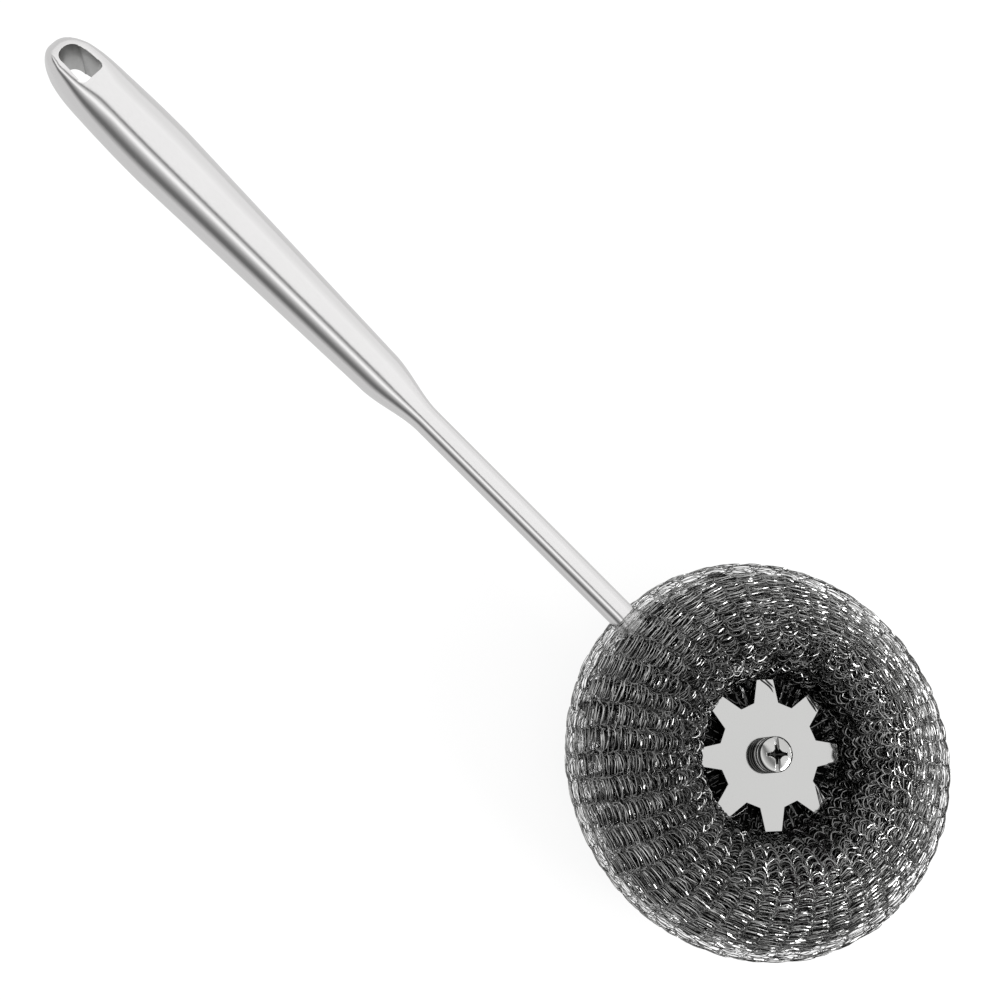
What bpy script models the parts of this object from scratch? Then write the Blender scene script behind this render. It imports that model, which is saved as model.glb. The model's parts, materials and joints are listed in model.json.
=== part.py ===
"""Dish brush: a knitted stainless scourer ball clamped to a hollow stainless handle.

The handle lies along X with its tip at -X, and the clamp screw stands along Z through the ball.
The origin is below the middle of the object's length, on the plane that the ball rests on.
"""

import math

import bmesh
import bpy
from mathutils import Matrix

# Gap that keeps touching pieces apart
GAP = 0.0003

# Handle, measured along its length from the tip
REACH = 0.2512
TIP_LENGTH = 0.038
TIP_POWER = 2.6
NOSE_LENGTH = 0.015
NOSE_POWER = 2.1
GRIP_WIDTH = 0.0177
GRIP_HEIGHT = 0.0128
GRIP_END_WIDTH = 0.0126
GRIP_END_HEIGHT = 0.0096
SHOULDER_START = 0.112
SHOULDER_END = 0.130
NECK_WIDTH = 0.0071
NECK_HEIGHT = 0.0057
FLATTEN_START = 0.199
FLATTEN_END = 0.215
BAR_WIDTH = 0.0100
WALL = 0.0008
TIP_WALL = 1.4 * WALL
BAR_THICKNESS = 2 * WALL

# Share of the section's width that its flat top and bottom take
FLAT_LEAST = 0.15
FLAT_GRIP = 0.40
FLAT_NECK = 0.42
FLAT_BAR = 0.84

# Hanging slot: the clear opening inside its liner, whose tip wall leans away from the tip
SLOT_START = 0.0031
SLOT_LEAN = 0.0032
SLOT_LENGTH = 0.0102
SLOT_TIP_WIDTH = 0.0056
SLOT_END_WIDTH = 0.0072
SLOT_CORNER = 0.0014
SLOT_RIM = 0.0009
LINER_WALL = 0.0008

# Scourer ring, gathered into ribs and a little longer along the handle
BALL_LENGTH = 0.1040
BALL_WIDTH = 0.0990
BALL_THICKNESS = 0.048
CREST_RADIUS = 0.0315
RIB_COUNT = 48
RIB_STEPS = 3
RIB_DEPTH = 0.055

# Claw plates
TOOTH_COUNT = 8
TOOTH_ROOT_RADIUS = 0.0137
TOOTH_TIP_RADIUS = 0.0194
TOOTH_ROOT_ANGLE = 14.5
TOOTH_TIP_ANGLE = 6.9
PLATE_THICKNESS = 0.0010
PLATE_EDGE = 0.00012
WEB_LAYER = 0.0020

# Clamp screw and its stack
SCREW_DIAMETER = 0.0050
HEAD_DIAMETER = 0.0092
HEAD_HEIGHT = 0.0022
RECESS_SPAN = 0.0052
RECESS_WIDTH = 0.0011
RECESS_DEPTH = 0.0016
DRIVE_SLOT_WIDTH = 0.0013
DRIVE_SLOT_DEPTH = 0.0007
WASHER_THICKNESS = 0.0008
SPRING_THICKNESS = 0.0012
SPRING_SPLIT = 0.0007
NUT_ACROSS_FLATS = 0.0080
NUT_HEIGHT = 0.0040
SCREW_PAST_NUT = 0.0020

# Levels on the screw's axis, up from the plane that the ball rests on
BALL_MIDDLE_Z = BALL_THICKNESS / 2
BAR_Z = BALL_MIDDLE_Z + 0.0026
FLOOR_FRONT_Z = BAR_Z + BAR_THICKNESS / 2 + GAP + WEB_LAYER
FLOOR_REAR_Z = BAR_Z - BAR_THICKNESS / 2 - GAP - WEB_LAYER
FRONT_PLATE_Z = FLOOR_FRONT_Z + GAP
REAR_PLATE_Z = FLOOR_REAR_Z - GAP - PLATE_THICKNESS
WASHER_Z = FRONT_PLATE_Z + PLATE_THICKNESS + GAP
SPRING_Z = WASHER_Z + WASHER_THICKNESS + GAP
HEAD_Z = SPRING_Z + SPRING_THICKNESS + GAP
NUT_Z = REAR_PLATE_Z - GAP - NUT_HEIGHT
SCREW_END_Z = NUT_Z - SCREW_PAST_NUT
HOLE_RADIUS = SCREW_DIAMETER / 2 + GAP
FLOOR_RADIUS = TOOTH_TIP_RADIUS + GAP + 0.0001

# Where the screw's axis stands along X, so that the length is centred on the origin
AXIS_X = (REACH - BALL_LENGTH / 2) / 2

# Fineness of the faceted surfaces
SECTION_STEPS = 9
ROUND_STEPS = 28
OUTER_ARC_STEPS = 6
INNER_ARC_STEPS = 4


def clear_scene():
    """Remove every object that the scene holds."""
    for obj in list(bpy.data.objects):
        bpy.data.objects.remove(obj, do_unlink=True)


def new_collection(name):
    """Make a collection below the scene's own."""
    collection = bpy.data.collections.new(name)
    bpy.context.scene.collection.children.link(collection)
    return collection


def new_steel(name, grey, roughness):
    """Make a plain stainless steel of one grey."""
    material = bpy.data.materials.new(name)
    material.use_nodes = True
    shader = material.node_tree.nodes["Principled BSDF"]
    shader.inputs["Base Color"].default_value = (grey, grey, grey * 0.99, 1.0)
    shader.inputs["Roughness"].default_value = roughness
    shader.inputs["Metallic"].default_value = 1.0
    return material


def mix(start, end, share):
    """Blend two values."""
    return start + (end - start) * share


def eased(value, start, end):
    """Go from 0 at start to 1 at end, with level ends."""
    share = min(max((value - start) / (end - start), 0.0), 1.0)
    return share * share * (3.0 - 2.0 * share)


def spaced(start, end, count):
    """Even steps from start towards end, without the end itself."""
    return [mix(start, end, step / count) for step in range(count)]


def rounded_tip(distance, length, power):
    """Share of the full size at a distance from the tip, where the tip rounds over a length."""
    distance = min(max(distance, 0.0001), length)
    return (1.0 - ((length - distance) / length) ** power) ** (1.0 / power)


def handle_width(distance):
    """Width of the handle across Y at a distance from its tip."""
    if distance < TIP_LENGTH:
        return GRIP_WIDTH * rounded_tip(distance, TIP_LENGTH, TIP_POWER)
    if distance < SHOULDER_START:
        share = (distance - TIP_LENGTH) / (SHOULDER_START - TIP_LENGTH)
        return mix(GRIP_WIDTH, GRIP_END_WIDTH, share)
    if distance < FLATTEN_START:
        return mix(GRIP_END_WIDTH, NECK_WIDTH, eased(distance, SHOULDER_START, SHOULDER_END))
    if distance < REACH:
        return mix(NECK_WIDTH, BAR_WIDTH, eased(distance, FLATTEN_START, FLATTEN_END))
    past = min(distance - REACH, BAR_WIDTH / 2)
    return 2.0 * math.sqrt((BAR_WIDTH / 2) ** 2 - past ** 2)


def handle_height(distance):
    """Height of the handle along Z at a distance from its tip."""
    if distance < TIP_LENGTH:
        return GRIP_HEIGHT * rounded_tip(distance, NOSE_LENGTH, NOSE_POWER)
    if distance < SHOULDER_START:
        share = (distance - TIP_LENGTH) / (SHOULDER_START - TIP_LENGTH)
        return mix(GRIP_HEIGHT, GRIP_END_HEIGHT, share)
    if distance < FLATTEN_START:
        return mix(GRIP_END_HEIGHT, NECK_HEIGHT, eased(distance, SHOULDER_START, SHOULDER_END))
    return mix(NECK_HEIGHT, BAR_THICKNESS, eased(distance, FLATTEN_START, FLATTEN_END))


def slot_flat(distance):
    """Half width of the flat that rims the slot, round about the slot's tip."""
    centre = SLOT_START + SLOT_TIP_WIDTH / 2
    if distance > centre:
        return SLOT_END_WIDTH / 2 + SLOT_RIM
    radius = SLOT_TIP_WIDTH / 2 + SLOT_RIM
    return math.sqrt(max(radius ** 2 - (centre - distance) ** 2, 0.0))


def handle_flat(distance):
    """Share of the width that the flat top takes at a distance from the tip."""
    if distance < TIP_LENGTH:
        slot_end = SLOT_START + SLOT_LENGTH
        rim = max(slot_flat(distance) / (handle_width(distance) / 2), FLAT_LEAST)
        return mix(rim, FLAT_GRIP, eased(distance, 0.75 * slot_end, 1.5 * slot_end))
    if distance < FLATTEN_START:
        return mix(FLAT_GRIP, FLAT_NECK, eased(distance, SHOULDER_START, SHOULDER_END))
    return mix(FLAT_NECK, FLAT_BAR, eased(distance, FLATTEN_START, FLATTEN_END))


def handle_section(distance, offset):
    """Oval cut flat at its top and bottom, grown by an offset, in the handle's own frame."""
    half_width = handle_width(distance) / 2 + offset
    half_height = handle_height(distance) / 2 + offset
    flat = handle_flat(distance)
    crease = math.acos(flat)
    oval_height = half_height / math.sqrt(1.0 - flat * flat)
    points = []
    for side in (1, -1):
        for step in range(SECTION_STEPS + 1):
            angle = mix(crease, -crease, step / SECTION_STEPS)
            y = half_width * math.cos(angle)
            z = oval_height * math.sin(angle)
            points.append((distance, side * y, side * z))
        points.append((distance, 0.0, -side * half_height))
    return points


def handle_stations():
    """Distances from the tip at which the handle's sections stand."""
    stations = [TIP_LENGTH * (step / 14) ** 2.1 for step in range(14)]
    stations += spaced(TIP_LENGTH, SHOULDER_START, 5)
    stations += spaced(SHOULDER_START, SHOULDER_END, 8)
    stations += spaced(SHOULDER_END, FLATTEN_START, 2)
    stations += spaced(FLATTEN_START, FLATTEN_END, 7)
    stations += [FLATTEN_END, REACH]
    for degrees in (20, 40, 56, 70, 82):
        stations.append(REACH + BAR_WIDTH / 2 * math.sin(math.radians(degrees)))
    return stations


def cavity_stations():
    """Sections of the hollow inside the handle, from the tip's wall to the pressed end."""
    pinch = mix(FLATTEN_START, FLATTEN_END, 0.62)
    inside = [station for station in handle_stations() if 1.2 * TIP_WALL < station < pinch]
    return [TIP_WALL] + inside + [pinch]


def channel_stations():
    """Sections of the passage through the scourer, from outside its rim to past the bar's end."""
    rim = REACH - BALL_LENGTH / 2
    start = min(rim, FLATTEN_START) - 0.010
    inside = [station for station in handle_stations() if station > start + 0.001]
    return [start] + inside + [REACH + BAR_WIDTH / 2 + GAP]


def mesh_from_rings(name, rings, closed):
    """Join rings of equally many points; closed also joins the last ring to the first."""
    mesh = bpy.data.meshes.new(name)
    bm = bmesh.new()
    loops = [[bm.verts.new(point) for point in ring] for ring in rings]
    pairs = list(zip(loops, loops[1:]))
    if closed:
        pairs.append((loops[-1], loops[0]))
    else:
        bm.faces.new(list(reversed(loops[0])))
        bm.faces.new(loops[-1])
    for first, second in pairs:
        for index in range(len(first)):
            after = (index + 1) % len(first)
            bm.faces.new((first[index], first[after], second[after], second[index]))
    bmesh.ops.recalc_face_normals(bm, faces=bm.faces)
    bm.to_mesh(mesh)
    bm.free()
    return mesh


def mesh_from_outlines(name, outlines, bottom, top):
    """Raise closed outlines in the XY plane into a plate; inner outlines become holes."""
    curve = bpy.data.curves.new(name, "CURVE")
    curve.dimensions = "2D"
    curve.fill_mode = "BOTH"
    curve.extrude = (top - bottom) / 2
    for outline in outlines:
        spline = curve.splines.new("POLY")
        spline.points.add(len(outline) - 1)
        for point, (x, y) in zip(spline.points, outline):
            point.co = (x, y, 0.0, 1.0)
        spline.use_cyclic_u = True
    guide = bpy.data.objects.new(name, curve)
    bpy.context.scene.collection.objects.link(guide)
    evaluated = guide.evaluated_get(bpy.context.evaluated_depsgraph_get())
    mesh = bpy.data.meshes.new_from_object(evaluated)
    bpy.data.objects.remove(guide, do_unlink=True)
    bm = bmesh.new()
    bm.from_mesh(mesh)
    bmesh.ops.remove_doubles(bm, verts=bm.verts, dist=1e-6)
    bmesh.ops.translate(bm, verts=bm.verts, vec=(0.0, 0.0, (top + bottom) / 2))
    bmesh.ops.recalc_face_normals(bm, faces=bm.faces)
    bm.to_mesh(mesh)
    bm.free()
    return mesh


def mesh_from_profile(name, points, cyclic):
    """Line of points at +X that a Screw modifier turns about Z."""
    mesh = bpy.data.meshes.new(name)
    edges = [(index, index + 1) for index in range(len(points) - 1)]
    if cyclic:
        edges.append((len(points) - 1, 0))
    mesh.from_pydata([(x, 0.0, z) for x, z in points], edges, [])
    return mesh


def tapered_block(name, top_size, bottom_size, height, centre, turn):
    """Block that narrows downwards, turned about Z."""
    mesh = bpy.data.meshes.new(name)
    bm = bmesh.new()
    bmesh.ops.create_cube(bm, size=1.0)
    for vert in bm.verts:
        size = top_size if vert.co.z > 0 else bottom_size
        vert.co = (vert.co.x * size[0], vert.co.y * size[1], vert.co.z * height)
    move = Matrix.Translation(centre) @ Matrix.Rotation(math.radians(turn), 4, "Z")
    bm.transform(move)
    bm.to_mesh(mesh)
    bm.free()
    return mesh


def place(name, mesh, collection, parent, location, material=None, smooth=35.0):
    """Put a piece in its collection, below its parent empty."""
    obj = bpy.data.objects.new(name, mesh)
    collection.objects.link(obj)
    obj.parent = parent
    obj.location = location
    if material:
        mesh.materials.append(material)
    mesh.shade_smooth()
    mesh.set_sharp_from_angle(angle=math.radians(smooth))
    return obj


def guide(name, mesh, collection, parent, location):
    """Place a body that only cuts others."""
    obj = place(name, mesh, collection, parent, location)
    obj.hide_render = True
    obj.display_type = "WIRE"
    return obj


def cut(obj, tool, operation="DIFFERENCE"):
    """Cut a piece by another body, or keep what they share."""
    modifier = obj.modifiers.new(tool.name, "BOOLEAN")
    modifier.operation = operation
    modifier.solver = "EXACT"
    modifier.object = tool


def turn(obj):
    """Turn a profile about its own Z axis."""
    modifier = obj.modifiers.new("Turn", "SCREW")
    modifier.steps = ROUND_STEPS
    modifier.render_steps = ROUND_STEPS
    modifier.use_merge_vertices = True
    modifier.merge_threshold = 0.00001
    modifier.use_smooth_shade = True


def circle(radius, steps):
    """Points of a circle in the XY plane."""
    angles = [math.tau * step / steps for step in range(steps)]
    return [(radius * math.cos(angle), radius * math.sin(angle)) for angle in angles]


def slot_ring(offset, level):
    """Bullet shape of the hanging slot, grown by an offset, at a level above the handle's middle."""
    start = SLOT_START + SLOT_LEAN * (0.5 - level / GRIP_HEIGHT)
    radius = SLOT_TIP_WIDTH / 2
    end = SLOT_START + SLOT_LENGTH - SLOT_CORNER
    side = SLOT_END_WIDTH / 2 - SLOT_CORNER
    arcs = [
        (start + radius, 0.0, radius + offset, 90, 270, 12),
        (end, -side, SLOT_CORNER + offset, 270, 360, 4),
        (end, side, SLOT_CORNER + offset, 0, 90, 4),
    ]
    points = []
    for x, y, bend, first, last, steps in arcs:
        for step in range(steps + 1):
            angle = math.radians(mix(first, last, step / steps))
            points.append((x + bend * math.cos(angle), y + bend * math.sin(angle), level))
    return points


def tooth_outline():
    """Outline of a claw plate, with one straight-sided tooth on the X axis."""
    points = []
    corners = (
        (TOOTH_ROOT_RADIUS, -TOOTH_ROOT_ANGLE),
        (TOOTH_TIP_RADIUS, -TOOTH_TIP_ANGLE),
        (TOOTH_TIP_RADIUS, TOOTH_TIP_ANGLE),
        (TOOTH_ROOT_RADIUS, TOOTH_ROOT_ANGLE),
    )
    for tooth in range(TOOTH_COUNT):
        for radius, degrees in corners:
            angle = math.radians(360.0 * tooth / TOOTH_COUNT + degrees)
            points.append((radius * math.cos(angle), radius * math.sin(angle)))
    return points


def ball_reach(angle):
    """Distance from the screw's axis to the ring's rim, an oval in plan."""
    return 1.0 / math.hypot(math.cos(angle) / (BALL_LENGTH / 2), math.sin(angle) / (BALL_WIDTH / 2))


def scourer_section(angle):
    """Closed section of the scourer at an angle about its axis, in the plane through the axis."""
    rib = 1.0 - RIB_DEPTH * (1.0 - math.cos(RIB_COUNT * angle)) / 2
    half_thickness = BALL_THICKNESS / 2 * rib
    outer = (ball_reach(angle) - CREST_RADIUS) * rib
    section = []
    for side, floor in ((1, FLOOR_FRONT_Z), (-1, FLOOR_REAR_Z)):
        depth = side * (floor - BALL_MIDDLE_Z)
        start = math.asin(depth / (BALL_THICKNESS / 2))
        inner = (CREST_RADIUS - FLOOR_RADIUS) / math.cos(start) * rib
        half = [(HOLE_RADIUS, side * depth), (FLOOR_RADIUS, side * depth)]
        for step in range(1, INNER_ARC_STEPS + 1):
            lift = mix(start, math.pi / 2, step / INNER_ARC_STEPS)
            radius = CREST_RADIUS - inner * math.cos(lift)
            half.append((radius, side * half_thickness * math.sin(lift)))
        for step in range(1, OUTER_ARC_STEPS + 1):
            lift = math.pi / 2 * (1 - step / OUTER_ARC_STEPS)
            radius = CREST_RADIUS + outer * math.cos(lift)
            half.append((radius, side * half_thickness * math.sin(lift)))
        section += half if side > 0 else list(reversed(half))[1:]
    return [(r * math.cos(angle), r * math.sin(angle), z) for r, z in section]


def build_handle(parts, cutters, root, steel):
    """Hollow handle with its slot and drilled end, and the liner of the slot."""
    tip = (-REACH, 0.0, BAR_Z)
    outer_rings = [handle_section(station, 0.0) for station in handle_stations()]
    cavity_rings = [handle_section(station, -WALL) for station in cavity_stations()]
    reach = GRIP_HEIGHT
    hole_rings = [slot_ring(LINER_WALL + GAP, level) for level in (-reach, reach)]

    shell = place("handle_shell", mesh_from_rings("handle_shell", outer_rings, False),
                  parts, root, tip, steel)
    hollow = guide("hollow", mesh_from_rings("hollow", cavity_rings, False), cutters, root, tip)
    slot = guide("slot_hole", mesh_from_rings("slot_hole", hole_rings, False), cutters, root, tip)
    drill_points = circle(HOLE_RADIUS, ROUND_STEPS)
    drill = guide("screw_hole", mesh_from_outlines("screw_hole", [drill_points], -reach, reach),
                  cutters, root, (0.0, 0.0, BAR_Z))
    cut(shell, hollow)
    cut(shell, slot)
    cut(shell, drill)

    liner_rings = [slot_ring(LINER_WALL, -reach), slot_ring(LINER_WALL, reach)]
    liner_rings += [slot_ring(0.0, reach), slot_ring(0.0, -reach)]
    liner = place("hang_slot_liner", mesh_from_rings("hang_slot_liner", liner_rings, True),
                  parts, root, tip, steel)
    outside = guide("handle_outside", mesh_from_rings("handle_outside", outer_rings, False),
                    cutters, root, tip)
    cut(liner, outside, "INTERSECT")


def build_scourer(parts, cutters, root, wire):
    """Ribbed ring of knitted wire, with the passage for the handle's end."""
    steps = RIB_COUNT * RIB_STEPS
    rings = [scourer_section(math.tau * step / steps) for step in range(steps)]
    scourer = place("scourer", mesh_from_rings("scourer", rings, True), parts, root,
                    (0.0, 0.0, BALL_MIDDLE_Z), wire, 60.0)
    channel_rings = [handle_section(station, GAP) for station in channel_stations()]
    channel = guide("handle_channel", mesh_from_rings("handle_channel", channel_rings, False),
                    cutters, root, (-REACH, 0.0, BAR_Z))
    cut(scourer, channel)


def build_plates(parts, root, steel):
    """Two equal claw plates, one at the front and one behind the ball."""
    outlines = [tooth_outline(), circle(HOLE_RADIUS, ROUND_STEPS)]
    for name, level in (("front_claw_plate", FRONT_PLATE_Z), ("rear_claw_plate", REAR_PLATE_Z)):
        mesh = mesh_from_outlines(name, outlines, 0.0, PLATE_THICKNESS)
        plate = place(name, mesh, parts, root, (0.0, 0.0, level), steel, 30.0)
        edge = plate.modifiers.new("Edge", "BEVEL")
        edge.width = PLATE_EDGE
        edge.segments = 1
        edge.limit_method = "ANGLE"
        edge.angle_limit = math.radians(60)


def ring_profile(inner, outer, height, edge):
    """Section of a flat ring with broken outer corners."""
    return [
        (inner, height),
        (outer - edge, height),
        (outer, height - edge),
        (outer, edge),
        (outer - edge, 0.0),
        (inner, 0.0),
    ]


def build_clamp(parts, cutters, root, steel):
    """Clamp screw with its two rings under the head, and the nut behind the ball."""
    ring_radius = HEAD_DIAMETER / 2
    washer = ring_profile(HOLE_RADIUS, ring_radius, WASHER_THICKNESS, 0.00012)
    plain = place("plain_washer", mesh_from_profile("plain_washer", washer, True), parts, root,
                  (0.0, 0.0, WASHER_Z), steel)
    turn(plain)

    ring = ring_profile(HOLE_RADIUS, ring_radius, SPRING_THICKNESS, 0.00020)
    spring = place("spring_washer", mesh_from_profile("spring_washer", ring, True), parts, root,
                   (0.0, 0.0, SPRING_Z), steel)
    turn(spring)
    split_size = (HEAD_DIAMETER, SPRING_SPLIT)
    split_centre = (0.0, -ring_radius, SPRING_THICKNESS / 2)
    split_mesh = tapered_block("spring_split", split_size, split_size, 3 * SPRING_THICKNESS,
                               split_centre, 72)
    split = guide("spring_split", split_mesh, cutters, root, (0.0, 0.0, SPRING_Z))
    cut(spring, split)

    rim = HEAD_HEIGHT * 0.55
    dome = [
        (ring_radius * math.sin(angle), rim + (HEAD_HEIGHT - rim) * math.cos(angle) ** 0.7)
        for angle in (math.radians(degrees) for degrees in (0, 22, 42, 58, 72, 84))
    ]
    shank = SCREW_DIAMETER / 2
    length = HEAD_Z - SCREW_END_Z
    profile = dome + [
        (ring_radius, rim * 0.8),
        (ring_radius, 0.0002),
        (ring_radius - 0.0002, 0.0),
        (shank, 0.0),
        (shank, -length + 0.0006),
        (shank - 0.0006, -length),
        (0.0, -length),
    ]
    screw = place("clamp_screw", mesh_from_profile("clamp_screw", profile, False), parts, root,
                  (0.0, 0.0, HEAD_Z), steel)
    turn(screw)
    for index, degrees in enumerate((45, 135)):
        top = (RECESS_SPAN, RECESS_WIDTH)
        bottom = (RECESS_SPAN * 0.35, RECESS_WIDTH * 0.8)
        centre = (0.0, 0.0, HEAD_HEIGHT - RECESS_DEPTH / 2 + 0.0001)
        name = f"recess_{index + 1}"
        block = tapered_block(name, top, bottom, RECESS_DEPTH + 0.0002, centre, degrees)
        cut(screw, guide(name, block, cutters, root, (0.0, 0.0, HEAD_Z)))
    # A plain slot runs through the cross recess, so either kind of driver turns the screw.
    size = (HEAD_DIAMETER * 1.2, DRIVE_SLOT_WIDTH)
    centre = (0.0, 0.0, HEAD_HEIGHT - DRIVE_SLOT_DEPTH / 2 + 0.0001)
    block = tapered_block("drive_slot", size, size, DRIVE_SLOT_DEPTH + 0.0002, centre, 135)
    cut(screw, guide("drive_slot", block, cutters, root, (0.0, 0.0, HEAD_Z)))

    corner = NUT_ACROSS_FLATS / math.sqrt(3)
    outlines = [circle(corner, 6), circle(HOLE_RADIUS, ROUND_STEPS)]
    place("clamp_nut", mesh_from_outlines("clamp_nut", outlines, 0.0, NUT_HEIGHT), parts, root,
          (0.0, 0.0, NUT_Z), steel)


def main():
    """Build every piece in order."""
    clear_scene()
    parts = new_collection("Dish brush")
    cutters = new_collection("Cutters")
    root = bpy.data.objects.new("clamp_axis", None)
    root.location = (AXIS_X, 0.0, 0.0)
    parts.objects.link(root)
    satin = new_steel("Satin stainless steel", 0.78, 0.32)
    polished = new_steel("Polished stainless steel", 0.72, 0.22)
    wire = new_steel("Stainless steel wire", 0.30, 0.38)
    build_handle(parts, cutters, root, satin)
    build_scourer(parts, cutters, root, wire)
    build_plates(parts, root, polished)
    build_clamp(parts, cutters, root, polished)


main()
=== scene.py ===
"""Looks of a stainless dish brush: a knitted wire scourer ring on a hollow satin handle.

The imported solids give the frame. This script dresses them: the knitted ring is wound loop by loop,
the handle and the fasteners get their fine surfaces, and a plain studio stands around them.
All lengths are in metres, in the same frame as the solids.
"""

from __future__ import annotations

import json
import logging
import math
from dataclasses import dataclass
from enum import Enum

import bmesh
import bpy
import numpy as np
from mathutils import Matrix, Vector

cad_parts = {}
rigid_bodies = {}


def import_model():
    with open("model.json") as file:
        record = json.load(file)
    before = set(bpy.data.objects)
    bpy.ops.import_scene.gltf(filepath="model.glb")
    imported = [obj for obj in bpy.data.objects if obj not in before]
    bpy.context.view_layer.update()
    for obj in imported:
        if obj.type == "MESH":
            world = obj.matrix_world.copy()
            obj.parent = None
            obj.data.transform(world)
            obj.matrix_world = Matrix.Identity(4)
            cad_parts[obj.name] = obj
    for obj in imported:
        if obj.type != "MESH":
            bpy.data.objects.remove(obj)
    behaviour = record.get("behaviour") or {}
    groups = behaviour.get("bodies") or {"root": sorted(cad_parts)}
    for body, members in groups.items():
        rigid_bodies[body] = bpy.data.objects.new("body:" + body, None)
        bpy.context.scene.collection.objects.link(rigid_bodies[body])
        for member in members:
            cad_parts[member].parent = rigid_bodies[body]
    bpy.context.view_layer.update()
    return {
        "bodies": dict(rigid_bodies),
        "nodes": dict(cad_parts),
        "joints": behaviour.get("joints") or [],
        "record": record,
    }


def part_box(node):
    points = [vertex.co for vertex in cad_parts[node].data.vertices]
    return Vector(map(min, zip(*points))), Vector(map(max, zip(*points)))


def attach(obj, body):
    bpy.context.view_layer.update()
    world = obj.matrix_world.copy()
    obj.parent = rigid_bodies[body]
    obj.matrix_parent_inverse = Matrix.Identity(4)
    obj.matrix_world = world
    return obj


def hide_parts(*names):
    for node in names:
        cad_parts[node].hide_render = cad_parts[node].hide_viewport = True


LOG = logging.getLogger("dish_brush")
MM = 0.001
# Ribs of the gathered knit, one for each column of loops.
RIBS = 48


def linear(code: str) -> tuple[float, float, float, float]:
    """Turn an sRGB hex colour into linear RGBA.

    Args:
        code: Six hex digits after a hash sign.

    Returns:
        Linear red, green and blue with an alpha of 1.
    """
    parts = [int(code[place:place + 2], 16) / 255 for place in (1, 3, 5)]
    curve = [part / 12.92 if part <= 0.04045 else ((part + 0.055) / 1.055) ** 2.4 for part in parts]
    return (curve[0], curve[1], curve[2], 1.0)


def add_node(
    tree: bpy.types.NodeTree,
    kind: str,
    inputs: dict[str | int, object] | None = None,
    **settings: object,
) -> bpy.types.Node:
    """Add a node, set its properties, and fill or link its inputs.

    Args:
        tree: Node tree that takes the node.
        kind: Blender's identifier of the node's type.
        inputs: Values or sockets, by the input's name or number.
        settings: Properties of the node itself.

    Returns:
        The new node.
    """
    node = tree.nodes.new(kind)
    for name, value in settings.items():
        setattr(node, name, value)
    for key, value in (inputs or {}).items():
        if isinstance(value, bpy.types.NodeSocket):
            tree.links.new(value, node.inputs[key])
        else:
            node.inputs[key].default_value = value
    return node


class Term:
    """A number that a node tree works out, extended by ordinary arithmetic."""

    def __init__(self, tree: bpy.types.NodeTree, socket: bpy.types.NodeSocket) -> None:
        """Hold the socket that gives the number.

        Args:
            tree: Tree that the socket belongs to.
            socket: Output socket of some node.
        """
        self.tree = tree
        self.socket = socket

    def apply(self, operation: str, *others: "Term | float") -> "Term":
        """Work out a Math operation on this number and others.

        Args:
            operation: Name of the Math node's operation.
            others: Further operands.

        Returns:
            The result.
        """
        values = [other.socket if isinstance(other, Term) else other for other in others]
        inputs = dict(enumerate([self.socket, *values]))
        node = add_node(self.tree, "ShaderNodeMath", inputs, operation=operation)
        return Term(self.tree, node.outputs[0])

    def __add__(self, other: "Term | float") -> "Term":
        """Sum of two numbers."""
        return self.apply("ADD", other)

    def __sub__(self, other: "Term | float") -> "Term":
        """Difference of two numbers."""
        return self.apply("SUBTRACT", other)

    def __mul__(self, other: "Term | float") -> "Term":
        """Product of two numbers."""
        return self.apply("MULTIPLY", other)

    def __truediv__(self, other: "Term | float") -> "Term":
        """Quotient of two numbers."""
        return self.apply("DIVIDE", other)

    def within(self, low: float, high: float) -> "Term":
        """The number, held between two bounds."""
        return self.apply("MAXIMUM", low).apply("MINIMUM", high)


def fill_stops(elements: bpy.types.ColorRampElements, stops: list[tuple[float, float]]) -> None:
    """Give a colour ramp its greys.

    Args:
        elements: The ramp's stops, two to start with.
        stops: Places from 0 to 1, in order, each with its grey.
    """
    while len(elements) < len(stops):
        elements.new(0.5)
    for element, (spot, grey) in zip(elements, stops):
        element.position = spot
        element.color = (grey, grey, grey, 1.0)


class Grain(Enum):
    """How a steel surface was finished, with the scale of its grain along X against across."""

    SATIN = 0.25
    ROLLED = 0.06
    EVEN = 1.0


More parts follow.
